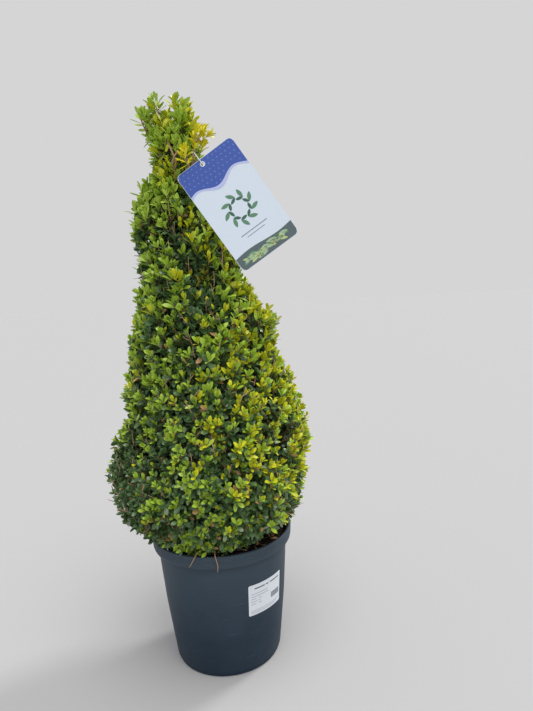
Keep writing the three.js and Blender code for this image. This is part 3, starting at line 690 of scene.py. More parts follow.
trunk = limb(STEM_PATH, stem_radius, cuts=150)
hand_over(trunk, "trunk_bark", [bark], ["trunk"], smooth=60)

# %% [markdown]
# The crown has four tiers. Each tier but the spire is divided into sectors round the stem, and a bough
# leads to the foliage of each sector. The side bough is longer and thinner, and it carries the tag.

# %% Model the boughs
SIDE_BOUGH_PATH = [(-34, -4, 946), (-24, -32, 976), (-8, -60, 1004), (-1, -71, 1030), (3, -69, 1049)]
SIDE_FOOT, SIDE_NARROWS = 3.4, 1.5
TIERS = {
    "skirt": {"high": 0.52, "inner": 62, "sectors": 4, "turn": 0, "bough": 292, "joint": 350},
    "body": {"high": 0.76, "inner": 48, "sectors": 3, "turn": 30, "bough": 440, "joint": 560},
    "shoulder": {"high": 0.985, "inner": 27, "sectors": 2, "turn": 90, "bough": 705, "joint": 790},
    "spire": {"high": 1.3, "inner": 0, "sectors": 0, "turn": 0, "bough": 0, "joint": 0},
}
BOUGH_FOOT, BOUGH_TIP, LEAD, STAGGER, SWEEP = 6, 4.2, 14, 14, 6


def stem_point(height):
    """The stem's middle at a height in millimetres."""
    x, y, z = np.array(STEM_PATH, float).T
    return np.array([np.interp(height, z, x), np.interp(height, z, y), height])


def bough_rows(tier, i):
    """Where a sector's bough starts, bends and ends, in millimetres."""
    azimuth = math.radians(tier["turn"]) + (i + 0.5) * 2 * math.pi / tier["sectors"]
    outward = np.array([math.cos(azimuth), math.sin(azimuth), 0])
    first = stem_point(tier["bough"] + STAGGER * (i % 2))
    last = stem_point(tier["joint"]) + outward * (tier["inner"] - LEAD)
    bend = (first + last) / 2 + outward * SWEEP - np.array([0, 0, SWEEP])
    return [first, bend, last]


def bough_radius(thickness):
    """How a bough of a mass tapers."""
    return lambda share: (BOUGH_FOOT + (BOUGH_TIP - BOUGH_FOOT) * share) * thickness


def side_radius(share):
    """How the side bough tapers."""
    return SIDE_FOOT - SIDE_NARROWS * share


boughs = []
for tier in TIERS.values():
    radius_at = bough_radius(0.6 + 0.4 * tier["inner"] / TIERS["skirt"]["inner"])
    for i in range(tier["sectors"]):
        boughs.append(limb(bough_rows(tier, i), radius_at, cuts=28, sides=14))
bough_nodes = [node for node in nodes if node.startswith("bough_") and node != "bough_side"]
hand_over(join(boughs), "boughs_bark", [bark], bough_nodes, smooth=60)
side_bough = limb(SIDE_BOUGH_PATH, side_radius, cuts=40, sides=14)
hand_over(side_bough, "bough_side_bark", [bark], ["bough_side"], smooth=60)

# %% [markdown]
# The tag's place
#
# The card hangs from the side shoot by its tie, tipped to the right. Its own frame has the punched
# hole at 0, 0, x across the card and y up it. Leaves have to keep out of it, so its frame comes
# before they grow.

# %% The tag's own frame
TAG_HOLE = (17, -78, 1018)
TAG_WIDTH, TAG_HEIGHT, TAG_THICKNESS = 129, 220, 0.9
TAG_ASIDE, TAG_INSET = 8.5, 10
TAG_ROLL, TAG_YAW, TAG_TILT = 33, 2, 2
tag_left, tag_right = TAG_ASIDE - TAG_WIDTH / 2, TAG_ASIDE + TAG_WIDTH / 2
tag_top, tag_foot = TAG_INSET, TAG_INSET - TAG_HEIGHT
tag_frame = (
    Matrix.Translation(Vector(TAG_HOLE) * MM)
    @ Matrix.Rotation(math.radians(-TAG_YAW), 4, "Z")
    @ Matrix.Rotation(math.radians(90 - TAG_TILT), 4, "X")
    @ Matrix.Rotation(math.radians(TAG_ROLL), 4, "Z")
)
print("The tag hangs from", [round(value, 3) for value in tag_frame.translation])

# %% [markdown]
# Where leaves can't grow
#
# A leaf that would cut the card, its tie, the pot's rim or the compost is left off, as clipping and
# handling would have left it. Each test works on all leaves at once.

# %% Rooms that leaves keep out of
LEAF_ROOM, COMPOST_ROOM = 1.2, 4
TAG_ROOM, TAG_EDGE = 2.2, 1
# The room of the tie in the card's frame: half its width, its foot and top, its middle and half depth.
TIE_ASIDE, TIE_LOW, TIE_HIGH, TIE_BEHIND, TIE_DEPTH = 5, -5, 30, 4, 9
tag_inverse = np.array(tag_frame.inverted())


def in_pot(points):
    """Whether points lie in the pot's rim, its wall or the compost."""
    distance = np.hypot(points[..., 0], points[..., 1]) / MM
    inside = distance < RIM_RADIUS - RIM_WIDTH - LEAF_ROOM
    top = np.where(inside, COMPOST_EDGE + COMPOST_ROOM, RIM_HEIGHT + LEAF_ROOM)
    return (distance < RIM_RADIUS + LEAF_ROOM) & (points[..., 2] / MM < top)


def in_tag(points):
    """Whether the points of each copy touch the card, lie on both sides of it or touch its tie."""
    own = (points @ tag_inverse[:3, :3].T + tag_inverse[:3, 3]) / MM
    aside, up, off = own[..., 0], own[..., 1], own[..., 2]
    by_card = (aside > tag_left - TAG_EDGE) & (aside < tag_right + TAG_EDGE)
    by_card &= (up > tag_foot - TAG_EDGE) & (up < tag_top + TAG_EDGE)
    cuts = by_card.any(-1) & (off.min(-1) < 0) & (off.max(-1) > 0)
    touches = (by_card & (np.abs(off) < TAG_ROOM)).any(-1)
    by_tie = (np.abs(aside) < TIE_ASIDE) & (up > TIE_LOW) & (up < TIE_HIGH)
    by_tie &= np.abs(off + TIE_BEHIND) < TIE_DEPTH
    return cuts | touches | by_tie.any(-1)


def keeps_out(points):
    """Which copies keep out of the pot, the compost, the tag and its tie."""
    return ~(in_pot(points).any(-1) | in_tag(points))


# %% [markdown]
# One leaf
#
# A box leaf is small and leathery, widest past its middle, with a blunt tip. It starts as a grid
# two cells wide. Each row is scaled to the leaf's width there and moved to its place, and the two end
# rows are merged to points. It is one metre long and flat: each copy gets its own size, cup and curl.
# Leaves deep in the plant are only half seen, so their patterns have fewer rows.

# %% Model the leaf patterns
YOUNG_LEAF = [(0, 0), (0.2, 0.105), (0.44, 0.19), (0.66, 0.212), (0.87, 0.145), (1, 0)]
OLD_LEAF = [(0, 0), (0.3, 0.17), (0.6, 0.245), (0.86, 0.165), (1, 0)]
DEEP_LEAF = [(0, 0), (0.38, 0.2), (0.8, 0.21), (1, 0)]
# Rows that are done wait this far off, so that they aren't picked again.
SET_ASIDE = 2


def leaf_pattern(rows):
    """A flat leaf from rows of how far along and how wide, as corners and triangles."""
    cells = len(rows) - 1
    leaf = start(bpy.ops.mesh.primitive_grid_add, x_subdivisions=2, y_subdivisions=cells, size=1)
    for i, (along, width) in reversed(list(enumerate(rows))):
        row = i / cells - 0.5
        pick(leaf, lambda v: abs(v.co.y - row) < 1e-4)
        bpy.ops.transform.resize(value=(2 * width, 1, 1))
        bpy.ops.transform.translate(value=(0, SET_ASIDE + along - row, 0))
    close_shape()
    corners, faces = read_pattern(leaf)
    corners[:, 1] -= SET_ASIDE
    a, b, c = corners[faces[0]]
    return corners, faces if np.cross(b - a, c - a)[2] > 0 else faces[:, ::-1]


young_corners, young_faces = leaf_pattern(YOUNG_LEAF)
old_corners, old_faces = leaf_pattern(OLD_LEAF)
deep_corners, deep_faces = leaf_pattern(DEEP_LEAF)
print("A young leaf has", len(young_faces), "triangles and an old one", len(old_faces))

# %% [markdown]
# How a shoot carries its leaves
#
# Box leaves stand in pairs, and each pair is turned a quarter from the last. At a shoot's tip the
# young pairs are short and nearly upright, and make a rosette. Further down they spread wider. The
# upper side of a leaf faces its shoot's tip. Young leaves are cupped, and old ones curl back.

# %% Helpers for leaves and their tables
def place_leaves(corners, leaf):
    """The corners of every leaf, from one flat pattern and each leaf's own frame."""
    x, y = corners[:, 0], corners[:, 1]
    side = np.cross(leaf["along"], leaf["face"])
    length = leaf["length"][:, None]
    wide = leaf["width"][:, None] * x
    high = leaf["cup"][:, None] * np.abs(x) - leaf["curl"][:, None] * y**2
    return (
        leaf["root"][:, None]
        + leaf["along"][:, None] * (length * y)[..., None]
        + side[:, None] * (length * wide)[..., None]
        + leaf["face"][:, None] * (length * high)[..., None]
    )


def stacked(tables):
    """Tables of arrays, one after the other, as one table."""
    return {key: np.concatenate([table[key] for table in tables]) for key in tables[0]}


def chosen(table, which):
    """A table of arrays with only the rows that are chosen."""
    return {key: values[which] for key, values in table.items()}


# %% Grow leaf pairs along shoots
PAIR_BACK = np.array([0, 3.5, 8.5, 15, 23, 32, 42]) * MM
PAIR_SPREAD = np.radians([14, 29, 42, 54, 64, 72, 76])
PAIR_SIZE = np.array([0.7, 0.95, 1.0, 1.0, 0.97, 0.9, 0.86])
YOUNG_PAIRS = 3
LEAF_LENGTH = (14 * MM, 19.5 * MM)
LEAF_WIDTH = (0.88, 1.12)
YOUNG_CUP, OLD_CUP = (0.1, 0.5), (-0.3, 0.2)
YOUNG_CURL, OLD_CURL = (-0.06, 0.16), (0.02, 0.22)
# How much a pair's place and a leaf's length vary, as shares.
BACK_VARIES, LENGTH_VARIES = (0.85, 1.15), (0.9, 1.1)
# How far chance turns a leaf round its shoot, away from it, off its aim and off its face.
TURN_CHANCE, SPREAD_CHANCE, AIM_CHANCE, FACE_CHANCE = 0.16, 0.13, 0.07, 0.22
# How far a leaf's foot is sunk in its shoot.
SUNK = 0.4 * MM


def pair_leaves(rng, shoots, pairs, first_pair=0):
    """Leaves in crossed pairs along shoots, as one table of arrays."""
    curve = [shoots[key] for key in ("start", "bend", "end")]
    count = len(shoots["end"])
    length = np.linalg.norm(shoots["end"] - shoots["start"], axis=1)
    turn = rng.uniform(0, math.pi, count)
    size = rng.uniform(*LEAF_LENGTH, count) * shoots["vigour"]
    tables = []
    for pair in range(first_pair, pairs):
        cup, curl = (YOUNG_CUP, YOUNG_CURL) if pair < YOUNG_PAIRS else (OLD_CUP, OLD_CURL)
        share = 1 - PAIR_BACK[pair] * rng.uniform(*BACK_VARIES, count) / np.maximum(length, 1e-6)
        node = bow(*curve, np.clip(share, 0, 1))
        axis = unit(node - bow(*curve, np.clip(share, 0, 1) - 0.05))
        for half in (0, math.pi):
            azimuth = turn + pair * math.pi / 2 + half + rng.normal(0, TURN_CHANCE, count)
            spread = PAIR_SPREAD[pair] + rng.normal(0, SPREAD_CHANCE, count)
            off = between(*across(axis), azimuth)
            along = unit(between(axis, off, spread) + rng.normal(0, AIM_CHANCE, (count, 3)))
            face = square_to(axis, along) + rng.normal(0, FACE_CHANCE, (count, 3))
            leaf = {
                "root": node - along * SUNK,
                "along": along,
                "face": unit(square_to(face, along)),
                "length": size * PAIR_SIZE[pair] * rng.uniform(*LENGTH_VARIES, count),
                "width": rng.uniform(*LEAF_WIDTH, count) * shoots["vigour"] ** -0.6,
                "cup": rng.uniform(*cup, count),
                "curl": rng.uniform(*curl, count),
                "pair": np.full(count, pair),
                "grows": share > 0.03,
            }
            tables.append(leaf | {key: shoots[key] for key in ("spray", "tone", "lot")})
    leaves = stacked(tables)
    return chosen(leaves, leaves["grows"])


# %% [markdown]
# How a spray branches
#
# Clipping cuts a twig's tip, and the buds below the cut grow out into several shoots. So each twig
# that reaches the coat carries a spray: one leading shoot and a few side shoots that leave it at the
# golden angle, bend upwards to the light and end near the outline. Sprays are spread evenly over the
# crown, and the same rule run again further in gives the darker layer of old leaves behind them.

# %% Spread sprays and grow their shoots
SPRAY_REACH, LEAST_REACH = 0.08, 0.045
SPRAY_CHANCE = 0.55
# Added to the crown's radius when its area is shared out, so that thin parts get more sprays.
CROWDING = 0.012
# How far a shoot ends behind the outline, in lengths of its leaves.
SHOOT_INSET = 0.85
# How steep shoots would become, in degrees, and what share of the way they turn to it.
UPRIGHT, TURN_UP = 82, 0.52
RISE_CHANCE, SHOOT_RISE_CHANCE, HEADING_CHANCE = 6, 11, 0.25
VIGOUR, OWN_VIGOUR = (0.82, 1.14), (0.9, 1.08)
# Where along the spray's twig the leading shoot and the side shoots begin.
LEADING_FROM, SIDE_FROM = 0.45, (0.25, 0.75)
TWIG_SAG = np.array([0, 0, 0.006])
# How much lighter a shoot's leaves are, how much darker the hindmost ones are as painted shade, and how much
# chance adds.
SHOOT_LIGHT, BEHIND_PAINTED_SHADE, TONE_CHANCE = 0.12, 0.45, 0.2


def spread_sites(rng, count, top):
    """Heights and directions that are even by area, with directions by the golden angle."""
    heights = np.linspace(CROWN_FOOT + 0.008, top, 401)
    radius = value_at(CROWN_RADIUS, heights) * MM
    slope = np.hypot(np.diff(radius), np.diff(heights))
    areas = np.concatenate([[0], np.cumsum((radius[1:] + CROWDING) * slope)])
    wanted = (np.arange(count) + rng.uniform(0, 1, count)) / count * areas[-1]
    height = np.interp(wanted, areas, heights)
    azimuth = np.arange(count) * GOLDEN_ANGLE + rng.normal(0, SPRAY_CHANCE / math.sqrt(count), count)
    return height, azimuth % (2 * math.pi)


def aim(azimuth, rise):
    """Directions from an azimuth and a rise above level."""
    return around(np.cos(rise), azimuth, np.sin(rise))


def grow_sprays(rng, height, azimuth, depth, shoots, offset, shorter, lower=(0, 0), turn_up=TURN_UP):
    """The main twigs of sprays and their shoots, as two tables of arrays."""
    count = len(height)
    rise = value_at(SHOOT_RISE, height) + rng.normal(0, RISE_CHANCE, count)
    radius = value_at(CROWN_RADIUS, height) * MM
    vigour = rng.uniform(*VIGOUR, count) * (0.94 + 0.3 * smooth_step(height, 0.45, 0.9))
    tables = []
    for k in range(shoots):
        turn = k * GOLDEN_ANGLE * 2 + azimuth * 7 + rng.uniform(-0.5, 0.5, count)
        away = rng.uniform(*offset, count) * (k > 0)
        own_height = height + away * np.sin(turn) - rng.uniform(*lower, count) * (k > 0)
        own_height = np.clip(own_height, CROWN_FOOT + 0.004, CROWN_TOP)
        own_azimuth = azimuth + away * np.cos(turn) / np.maximum(radius, 0.035)
        behind = rng.uniform(0, 1, count) * (k > 0)
        own_rise = value_at(SHOOT_RISE, own_height) * (1 - turn_up) + UPRIGHT * turn_up
        own_rise = own_rise + rng.normal(0, SHOOT_RISE_CHANCE, count)
        heading = aim(own_azimuth + rng.normal(0, HEADING_CHANCE, count), np.radians(own_rise))
        own_vigour = vigour * rng.uniform(*OWN_VIGOUR, count)
        inset = SHOOT_INSET * sum(LEAF_LENGTH) / 2 * own_vigour
        last = crown_point(own_height, own_azimuth, depth + shorter * behind) - heading * inset[:, None]
        shoot = {"end": last, "spray": np.arange(count), "vigour": own_vigour}
        if k == 0:
            reach = np.minimum(SPRAY_REACH, np.maximum(0.7 * radius, LEAST_REACH))
            root = last - aim(azimuth, np.radians(rise)) * reach[:, None]
            bend = (root + last) / 2 - TWIG_SAG + rng.normal(0, 0.004, (count, 3))
            twigs = shoot | {"start": root, "bend": bend, "vigour": vigour}
        share = np.full(count, LEADING_FROM) if k == 0 else rng.uniform(*SIDE_FROM, count)
        shoot["start"] = bow(root, bend, twigs["end"], share)
        length = np.linalg.norm(last - shoot["start"], axis=1, keepdims=True)
        shoot["bend"] = last - heading * length * 0.45
        shoot["tone"] = SHOOT_LIGHT - BEHIND_PAINTED_SHADE * behind + rng.normal(0, TONE_CHANCE, count)
        shoot["lot"] = rng.uniform(0, 1, count)
        tables.append(shoot)
    return twigs, stacked(tables)


# %% [markdown]
# Twigs
#
# A twig is a thin tube along its own curve, with three to six sides, closed at both ends. All twigs
# of a kind have the same number of rings, so their corners are worked out together.

# %% Tubes for twigs
def tubes(paths, radii, sides):
    """Tapered tubes along paths of equal numbers of points, as corners and one tube's triangles."""
    rings = paths.shape[1]
    side, other = across(unit(np.gradient(paths, axis=1)))
    angle = 2 * math.pi * np.arange(sides) / sides
    round_it = between(side[:, :, None], other[:, :, None], angle)
    corners = paths[:, :, None] + np.linspace(*radii, rings)[:, None, None] * round_it
    faces = []
    for ring in range(rings - 1):
        for i in range(sides):
            a, b = ring * sides + i, ring * sides + (i + 1) % sides
            faces += [(a, b, b + sides), (a, b + sides, a + sides)]
    last = (rings - 1) * sides
    for i in range(1, sides - 1):
        faces += [(0, i + 1, i), (last, last + i, last + i + 1)]
    return corners.reshape(len(paths), rings * sides, 3), np.array(faces)


def bowed_tubes(table, points, radii, sides):
    """Tubes along bowed twigs, each with a number of points."""
    first, middle, last = (table[key][:, None] for key in ("start", "bend", "end"))
    return tubes(bow(first, middle, last, np.linspace(0, 1, points)[None]), radii, sides)


# %% [markdown]
# The coat of sprays
#
# The real coat isn't even. It stands out in clumps with dark hollows between them, and it is thin in
# a few places where pale stems show: beside the card's foot, and in the waist under the tip. Wide slow
# waves give the clumps, and the thin places are named.

# %% Clumps, hollows and named places
OUTER_SPRAYS, OUTER_SHOOTS, OUTER_PAIRS = 480, 8, 6
CLUMP_DEPTH = 0.020
WAIST = 1.062
# Where the crown's radius is this or more, in millimetres, hollows have their full depth.
STOUT = 130
# Where the coat is thin, or full where the depth is negative: height and direction of its middle, its
# half height and half width, and its depth.
THIN_PLACES = [
    (0.815, -72, 0.040, 0.034, 0.030),
    (1.056, 0, 0.018, 9.0, 0.020),
    (0.610, -95, 0.085, 0.014, 0.026),
    (0.900, -96, 0.055, 0.026, 0.017),
    (0.730, -8, 0.036, 0.100, -0.032),
    (0.515, -5, 0.065, 0.120, -0.030),
    (0.660, 178, 0.075, 0.120, -0.028),
    (0.950, 180, 0.050, 0.060, -0.025),
    (0.290, -35, 0.035, 0.050, 0.030),
    (1.038, -88, 0.020, 0.016, 0.024),
    (0.452, -30, 0.032, 0.040, -0.013),
    (0.435, -92, 0.035, 0.040, -0.012),
    (0.822, 180, 0.024, 0.050, 0.019),
    (0.365, 180, 0.045, 0.150, 0.014),
]


def clumps(height, azimuth):
    """From 0 in a hollow to 1 on a clump."""
    girth = azimuth * 0.17
    waves = np.sin(girth * 61 + 9 * np.sin(height * 21)) + np.sin(height * 83 + 6 * np.sin(girth * 23))
    waves = waves + 0.7 * np.sin(girth * 131 + height * 67)
    return np.clip(0.5 + waves / 4.2, 0, 1)


def at_places(places, height, azimuth):
    """What named places add at heights and directions. Each fades out round its middle."""
    total = np.zeros(len(height))
    for middle, facing, half_height, half_width, most in places:
        apart = (azimuth - math.radians(facing) + math.pi) % (2 * math.pi) - math.pi
        aside = apart * value_at(CROWN_RADIUS, height) * MM / half_width
        total += most * np.exp(-(aside**2) - ((height - middle) / half_height) ** 2)
    return total


def slimness(height, least):
    """How slender the crown is at a height, against its body."""
    return np.clip(value_at(CROWN_RADIUS, height) / STOUT, least, 1)


# %% Grow the outer sprays
rng = np.random.default_rng(20260)
height, azimuth = spread_sites(rng, OUTER_SPRAYS, WAIST)
clump = clumps(height, azimuth)
pressed = at_places(THIN_PLACES, height, azimuth)
slim = slimness(height, 0.25)
depth = CLUMP_DEPTH * (1 - clump) * slim + rng.uniform(0, 0.006, OUTER_SPRAYS) * slim + pressed
outer_twigs, outer_shoots = grow_sprays(rng, height, azimuth, depth, OUTER_SHOOTS, (0.009, 0.023), 0.017)
outer_leaves = pair_leaves(rng, outer_shoots, OUTER_PAIRS)
# How far each spray stands out into the light: painted light on clumps, painted shade in hollows and thin
# places.
relief_light = 0.18 + 0.82 * smooth_step(clump, 0.15, 0.75) - np.maximum(pressed, 0) / 0.03
outer_spray = {"height": height, "azimuth": azimuth, "relief_light": relief_light}
print(len(outer_leaves["length"]), "leaves clothe the cone")

# %% [markdown]
# Above the waist the clipped cone ends in leaders: separate upright tufts of longer leaves. Five of
# them are the tips that stand highest, and the rest follow the golden angle round the crown's head.

# %% Grow the leaders
TOP_LEADERS = [(-84, -8, 1178), (-30, -18, 1176), (-10, -8, 1162), (-106, -6, 1150), (-58, 4, 1150)]
HEAD_LEADERS, HEAD_SHOOTS, HEAD_PAIRS = 18, 7, 5
HEAD_FOOT, HEAD_TOP, HEAD_FACING = 1.078, 1.15, 0.4
HEAD_VIGOUR, HEAD_WIDTH = 1.12, 0.9


def add_up(first, second):
    """Two tables of arrays as one, with the second one's sprays numbered on."""
    both = stacked([first, second])
    if "spray" in both:
        both["spray"][len(first["spray"]) :] += OUTER_SPRAYS
    return both


top_x, top_y, top_height = np.array(TOP_LEADERS, float).T * MM
top_x = top_x - crown_middle(top_height)
share = (np.arange(HEAD_LEADERS) + 0.5) / HEAD_LEADERS
height = np.concatenate([top_height, HEAD_TOP - (HEAD_TOP - HEAD_FOOT) * share])
head_azimuth = HEAD_FACING + np.arange(HEAD_LEADERS) * GOLDEN_ANGLE
azimuth = np.concatenate([np.arctan2(top_y, top_x), head_azimuth]) % (2 * math.pi)
top_depth = crown_reach(top_height, azimuth[: len(top_x)]) - np.hypot(top_y, top_x)
head_depth = rng.uniform(0.004, 0.016, HEAD_LEADERS) + 0.012 * np.maximum(np.cos(azimuth[len(top_x) :]), 0)
depth = np.concatenate([top_depth, head_depth])
room = {"offset": (0.007, 0.017), "shorter": 0.004, "lower": (0.004, 0.026), "turn_up": 0.8}
head_twigs, head_shoots = grow_sprays(rng, height, azimuth, depth, HEAD_SHOOTS, **room)
head_shoots["vigour"] = head_shoots["vigour"] * HEAD_VIGOUR
head_leaves = pair_leaves(rng, head_shoots, HEAD_PAIRS)
head_leaves["width"] = head_leaves["width"] * HEAD_WIDTH
head_spray = {"height": height, "azimuth": azimuth, "relief_light": rng.uniform(0.62, 1, len(height))}
outer_twigs = add_up(outer_twigs, head_twigs)
outer_shoots = add_up(outer_shoots, head_shoots)
outer_leaves = add_up(outer_leaves, head_leaves)
outer_spray = add_up(outer_spray, head_spray)
print(len(height), "leaders make the head")

# %% [markdown]
# Behind the coat stand old leaves without rosettes. There are fewer in the thin places, where the bare stems
# show.

# %% Grow the inner layer
INNER_SPRAYS, INNER_SHOOTS, INNER_PAIRS = 430, 6, 6
INNER_DEPTH, INNER_TOP = (0.036, 0.060), 1.11
# What share of the coat's fullness the inner layer follows, and what share of leaves thin places lose.
INNER_FOLLOWS, BARE_LOSES = 0.6, 0.6

height, azimuth = spread_sites(rng, INNER_SPRAYS, INNER_TOP)
pressed = at_places(THIN_PLACES, height, azimuth)
depth = rng.uniform(*INNER_DEPTH, INNER_SPRAYS) * slimness(height, 0.3)
depth = depth + INNER_FOLLOWS * np.minimum(pressed, 0)
inner_twigs, inner_shoots = grow_sprays(rng, height, azimuth, depth, INNER_SHOOTS, (0.012, 0.030), 0.012)
inner_leaves = pair_leaves(rng, inner_shoots, INNER_PAIRS, first_pair=YOUNG_PAIRS - 1)
inner_spray = {"height": height, "azimuth": azimuth}
bare = (pressed * (height < 1))[inner_leaves["spray"]]
stays = rng.uniform(0, 1, len(bare)) > BARE_LOSES * smooth_step(bare, 0.004, 0.022)
inner_leaves = chosen(inner_leaves, stays)
print(len(outer_leaves["length"]), "outer and", len(inner_leaves["length"]), "inner leaves have grown")

# %% [markdown]
# Leaf colours
#
# Young box leaves are lime, and the sun had turned those on the right of this plant golden, a few of them
# orange. Older leaves are deep green and nearly blue; their greyer, bluer shades are partly a painted sheen
# on top of the real gloss of their coat. A leaf keeps one plain colour, and the variety comes from dealing
# these shades out: each spray draws its own, by where it stands and by chance, and its lower leaves are
# older. Where it stands also paints light and shade: lighter shades on clumps, on the sunny side and at the
# top, darker ones in hollows, deep inside and low down. The wax on a leaf gives a soft sheen.

# %% Leaf and twig finishes
def shade_finishes(name, colours, roughness, coat):
    """Waxy leaf finishes, one for each shade."""
    wax = {"IOR": 1.45, "Coat_Weight": coat, "Coat_Roughness": 0.3}
    return [finish(f"{name}_{i + 1}", colour, roughness, **wax) for i, colour in enumerate(colours)]


# Each kind's shades run from lit to shaded and are dealt out as lit and shaded copies: painted light and
# shade. The greyer, bluer young and mature shades also carry a painted sheen.
fresh = shade_finishes("young_box_leaf", ("#a4c142", "#82a935", "#5f8f33", "#467438"), 0.4, 0.2)
gold = shade_finishes("golden_box_leaf", ("#cbce27", "#b1bb28", "#94a72c", "#dcae1c"), 0.4, 0.15)
mature = shade_finishes("mature_box_leaf", ("#557545", "#3b5a45", "#293f37", "#172423"), 0.34, 0.4)
dry = shade_finishes("dry_box_leaf", ("#b28d62", "#7a5537"), 0.75, 0.0)
twig_shades = [
    finish("box_twig_tan", "#ab8b69", 0.7),
    finish("box_twig_grey", "#857059", 0.8),
    finish("box_twig_green", "#83844a", 0.6),
]

# %% Light and sun on the sprays
SUN_FACING = math.radians(-20)
# Where the leaves are old and blue green, and where painted shade darkens them, as low on the front left,
# written like the thin places, with how much darker they are.
OLD_AND_SHADED_PLACES = [
    (0.850, -86, 0.080, 0.040, 0.85),
    (0.640, -100, 0.060, 0.030, 0.4),
    (0.772, -72, 0.040, 0.045, 0.6),
    (0.415, -146, 0.100, 0.100, 1.2),
    (1.040, -72, 0.020, 0.018, 0.6),
    (0.435, -92, 0.038, 0.045, -0.4),
]
# Where the sun had turned more leaves golden, written the same way.
GOLD_PLACES = [(1.035, -120, 0.026, 0.024, 0.6), (1.150, -150, 0.022, 0.030, 0.45)]
# How much painted light a spray gets everywhere, more on the sunny side and at the top, and how much painted
# shade it gets low down.
LIGHT, SUNNY_LIGHT, LOW_DARK, TOP_LIGHT = 0.06, 0.32, 0.44, 0.52
# Between which heights, in metres, gold comes up, fades again and comes back at the top.
GOLD_COMES, GOLD_FADES, GOLD_RETURNS = (0.34, 0.5), (0.62, 0.9), (0.95, 1.08)
# Between which heights the low part ends and the high part begins.
LOW_ENDS, HIGH_BEGINS = (0.33, 0.58), (0.85, 1.08)


def spray_tones(rng, spray):
    """How sunny, low, high, golden and bright each spray is, as a table of arrays. Its brightness is painted
    light and shade.
    """
    height = spray["height"]
    count = len(height)
    sunny = np.cos(spray["azimuth"] - SUN_FACING)
    golden = smooth_step(sunny, 0.0, 1.0) * (0.8 - 0.4 * smooth_step(height, *GOLD_FADES))
    golden = golden * (0.2 + 0.8 * smooth_step(height, *GOLD_COMES))
    golden = golden + 0.05 + 0.12 * smooth_step(height, *GOLD_RETURNS)
    golden = np.clip(golden + rng.normal(0, 0.3, count) * golden, 0, 0.9)
    golden = golden + at_places(GOLD_PLACES, height, spray["azimuth"])
    low = 1 - smooth_step(height, *LOW_ENDS)
    top = smooth_step(height, *HIGH_BEGINS)
    light = LIGHT + SUNNY_LIGHT * sunny * (1 - low) - LOW_DARK * low + TOP_LIGHT * top
    light = light - at_places(OLD_AND_SHADED_PLACES, height, spray["azimuth"])
    bright = spray["relief_light"] + light + rng.normal(0, 0.1, count)
    return {"height": height, "sunny": sunny, "low": low, "top": top, "golden": golden, "bright": bright}


# %% Deal the shades out
FRESH, GOLD, MATURE, DRY = range(4)
LAST_SHADE = 3
# Under the first brightness, which is painted shade, green leaves are all made old and dark, and under the
# second they age a pair sooner.
DARK, DIM = 0.2, 0.4
# How many shades lie between full light and none for young leaves and for old ones, and how much
# chance adds to each.
YOUNG_SPAN, OLD_SPAN, YOUNG_CHANCE, OLD_CHANCE = 3.2, 1.6, 0.45, 0.6
# How many shades lighter old leaves are high up, as painted light, and between which heights they get so.
HIGH_LIGHTER, LIGHTER_BETWEEN = 1.9, (0.55, 0.9)
GREEN_AMONG_GOLD, ORANGE_SHARE, ORANGE_FROM = 0.2, 0.6, 0.42
WITHERED_OLD, WITHERED_YOUNG = 0.034, 0.002


def nearest_shade(value):
    """The number of the shade that is nearest to a value."""
    return np.clip(np.rint(value), 0, LAST_SHADE)


def deal_shades(rng, leaves, spray):
    """The kind and shade of each leaf, drawn for its spray and varied a little leaf by leaf."""
    tone = chosen(spray_tones(rng, spray), leaves["spray"])
    number = len(leaves["spray"])
    pair = leaves["pair"]
    bright = np.clip(tone["bright"] + leaves["tone"], 0, 1)
    kind = np.where(leaves["lot"] < tone["golden"], GOLD, FRESH)
    kind = np.where((kind == GOLD) & (rng.uniform(0, 1, number) < GREEN_AMONG_GOLD), FRESH, kind)
    kind = np.where((bright < DARK) & (kind == FRESH), MATURE, kind)
    aged = pair >= YOUNG_PAIRS - (bright < DIM) + 2 * (tone["top"] > 0.6)
    # Young and old shades follow the spray's brightness, which is painted light and shade, and low down they
    # are painted darker.
    shade = (1 - bright) * YOUNG_SPAN + rng.normal(0, YOUNG_CHANCE, number)
    shade = nearest_shade(shade + 0.5 * (pair == YOUNG_PAIRS - 1) + 0.6 * tone["low"])
    shade = np.where((kind == GOLD) & (shade == LAST_SHADE), LAST_SHADE - 1, shade)
    orange = (kind == GOLD) & (leaves["lot"] < 0.1 + 0.16 * smooth_step(tone["sunny"], 0.6, 1.0))
    orange = orange & (rng.uniform(0, 1, number) < ORANGE_SHARE) & (tone["height"] > ORANGE_FROM)
    shade = np.where(orange, LAST_SHADE, shade)
    turned = (kind == MATURE) | aged
    age = pair - YOUNG_PAIRS + 1 + OLD_SPAN * (1 - bright) + 0.5 * tone["low"]
    age = age - HIGH_LIGHTER * smooth_step(tone["height"], *LIGHTER_BETWEEN)
    shade = np.where(turned, nearest_shade(age + rng.normal(0.1, OLD_CHANCE, number)), shade)
    kind = np.where(turned, MATURE, kind)
    withered = rng.uniform(0, 1, number) < np.where(aged, WITHERED_OLD, WITHERED_YOUNG)
    shade = np.where(withered, rng.integers(0, len(dry), number), shade)
    return np.where(withered, DRY, kind), shade.astype(int)


outer_kind, outer_shade = deal_shades(rng, outer_leaves, outer_spray)
# Inner leaves get dark shades as painted shade deep in the crown, and lighter shades towards the top as
# painted light.
inner_painted_light = 1.8 * smooth_step(inner_spray["height"][inner_leaves["spray"]], 0.6, 0.95)
inner_shade = nearest_shade(rng.normal(2.7, 0.6, len(inner_painted_light)) - inner_painted_light).astype(int)
shares = [int((outer_kind == kind).sum()) for kind in (FRESH, GOLD, MATURE, DRY)]
print("Of the outer leaves", shares, "are young, golden, mature and dry")

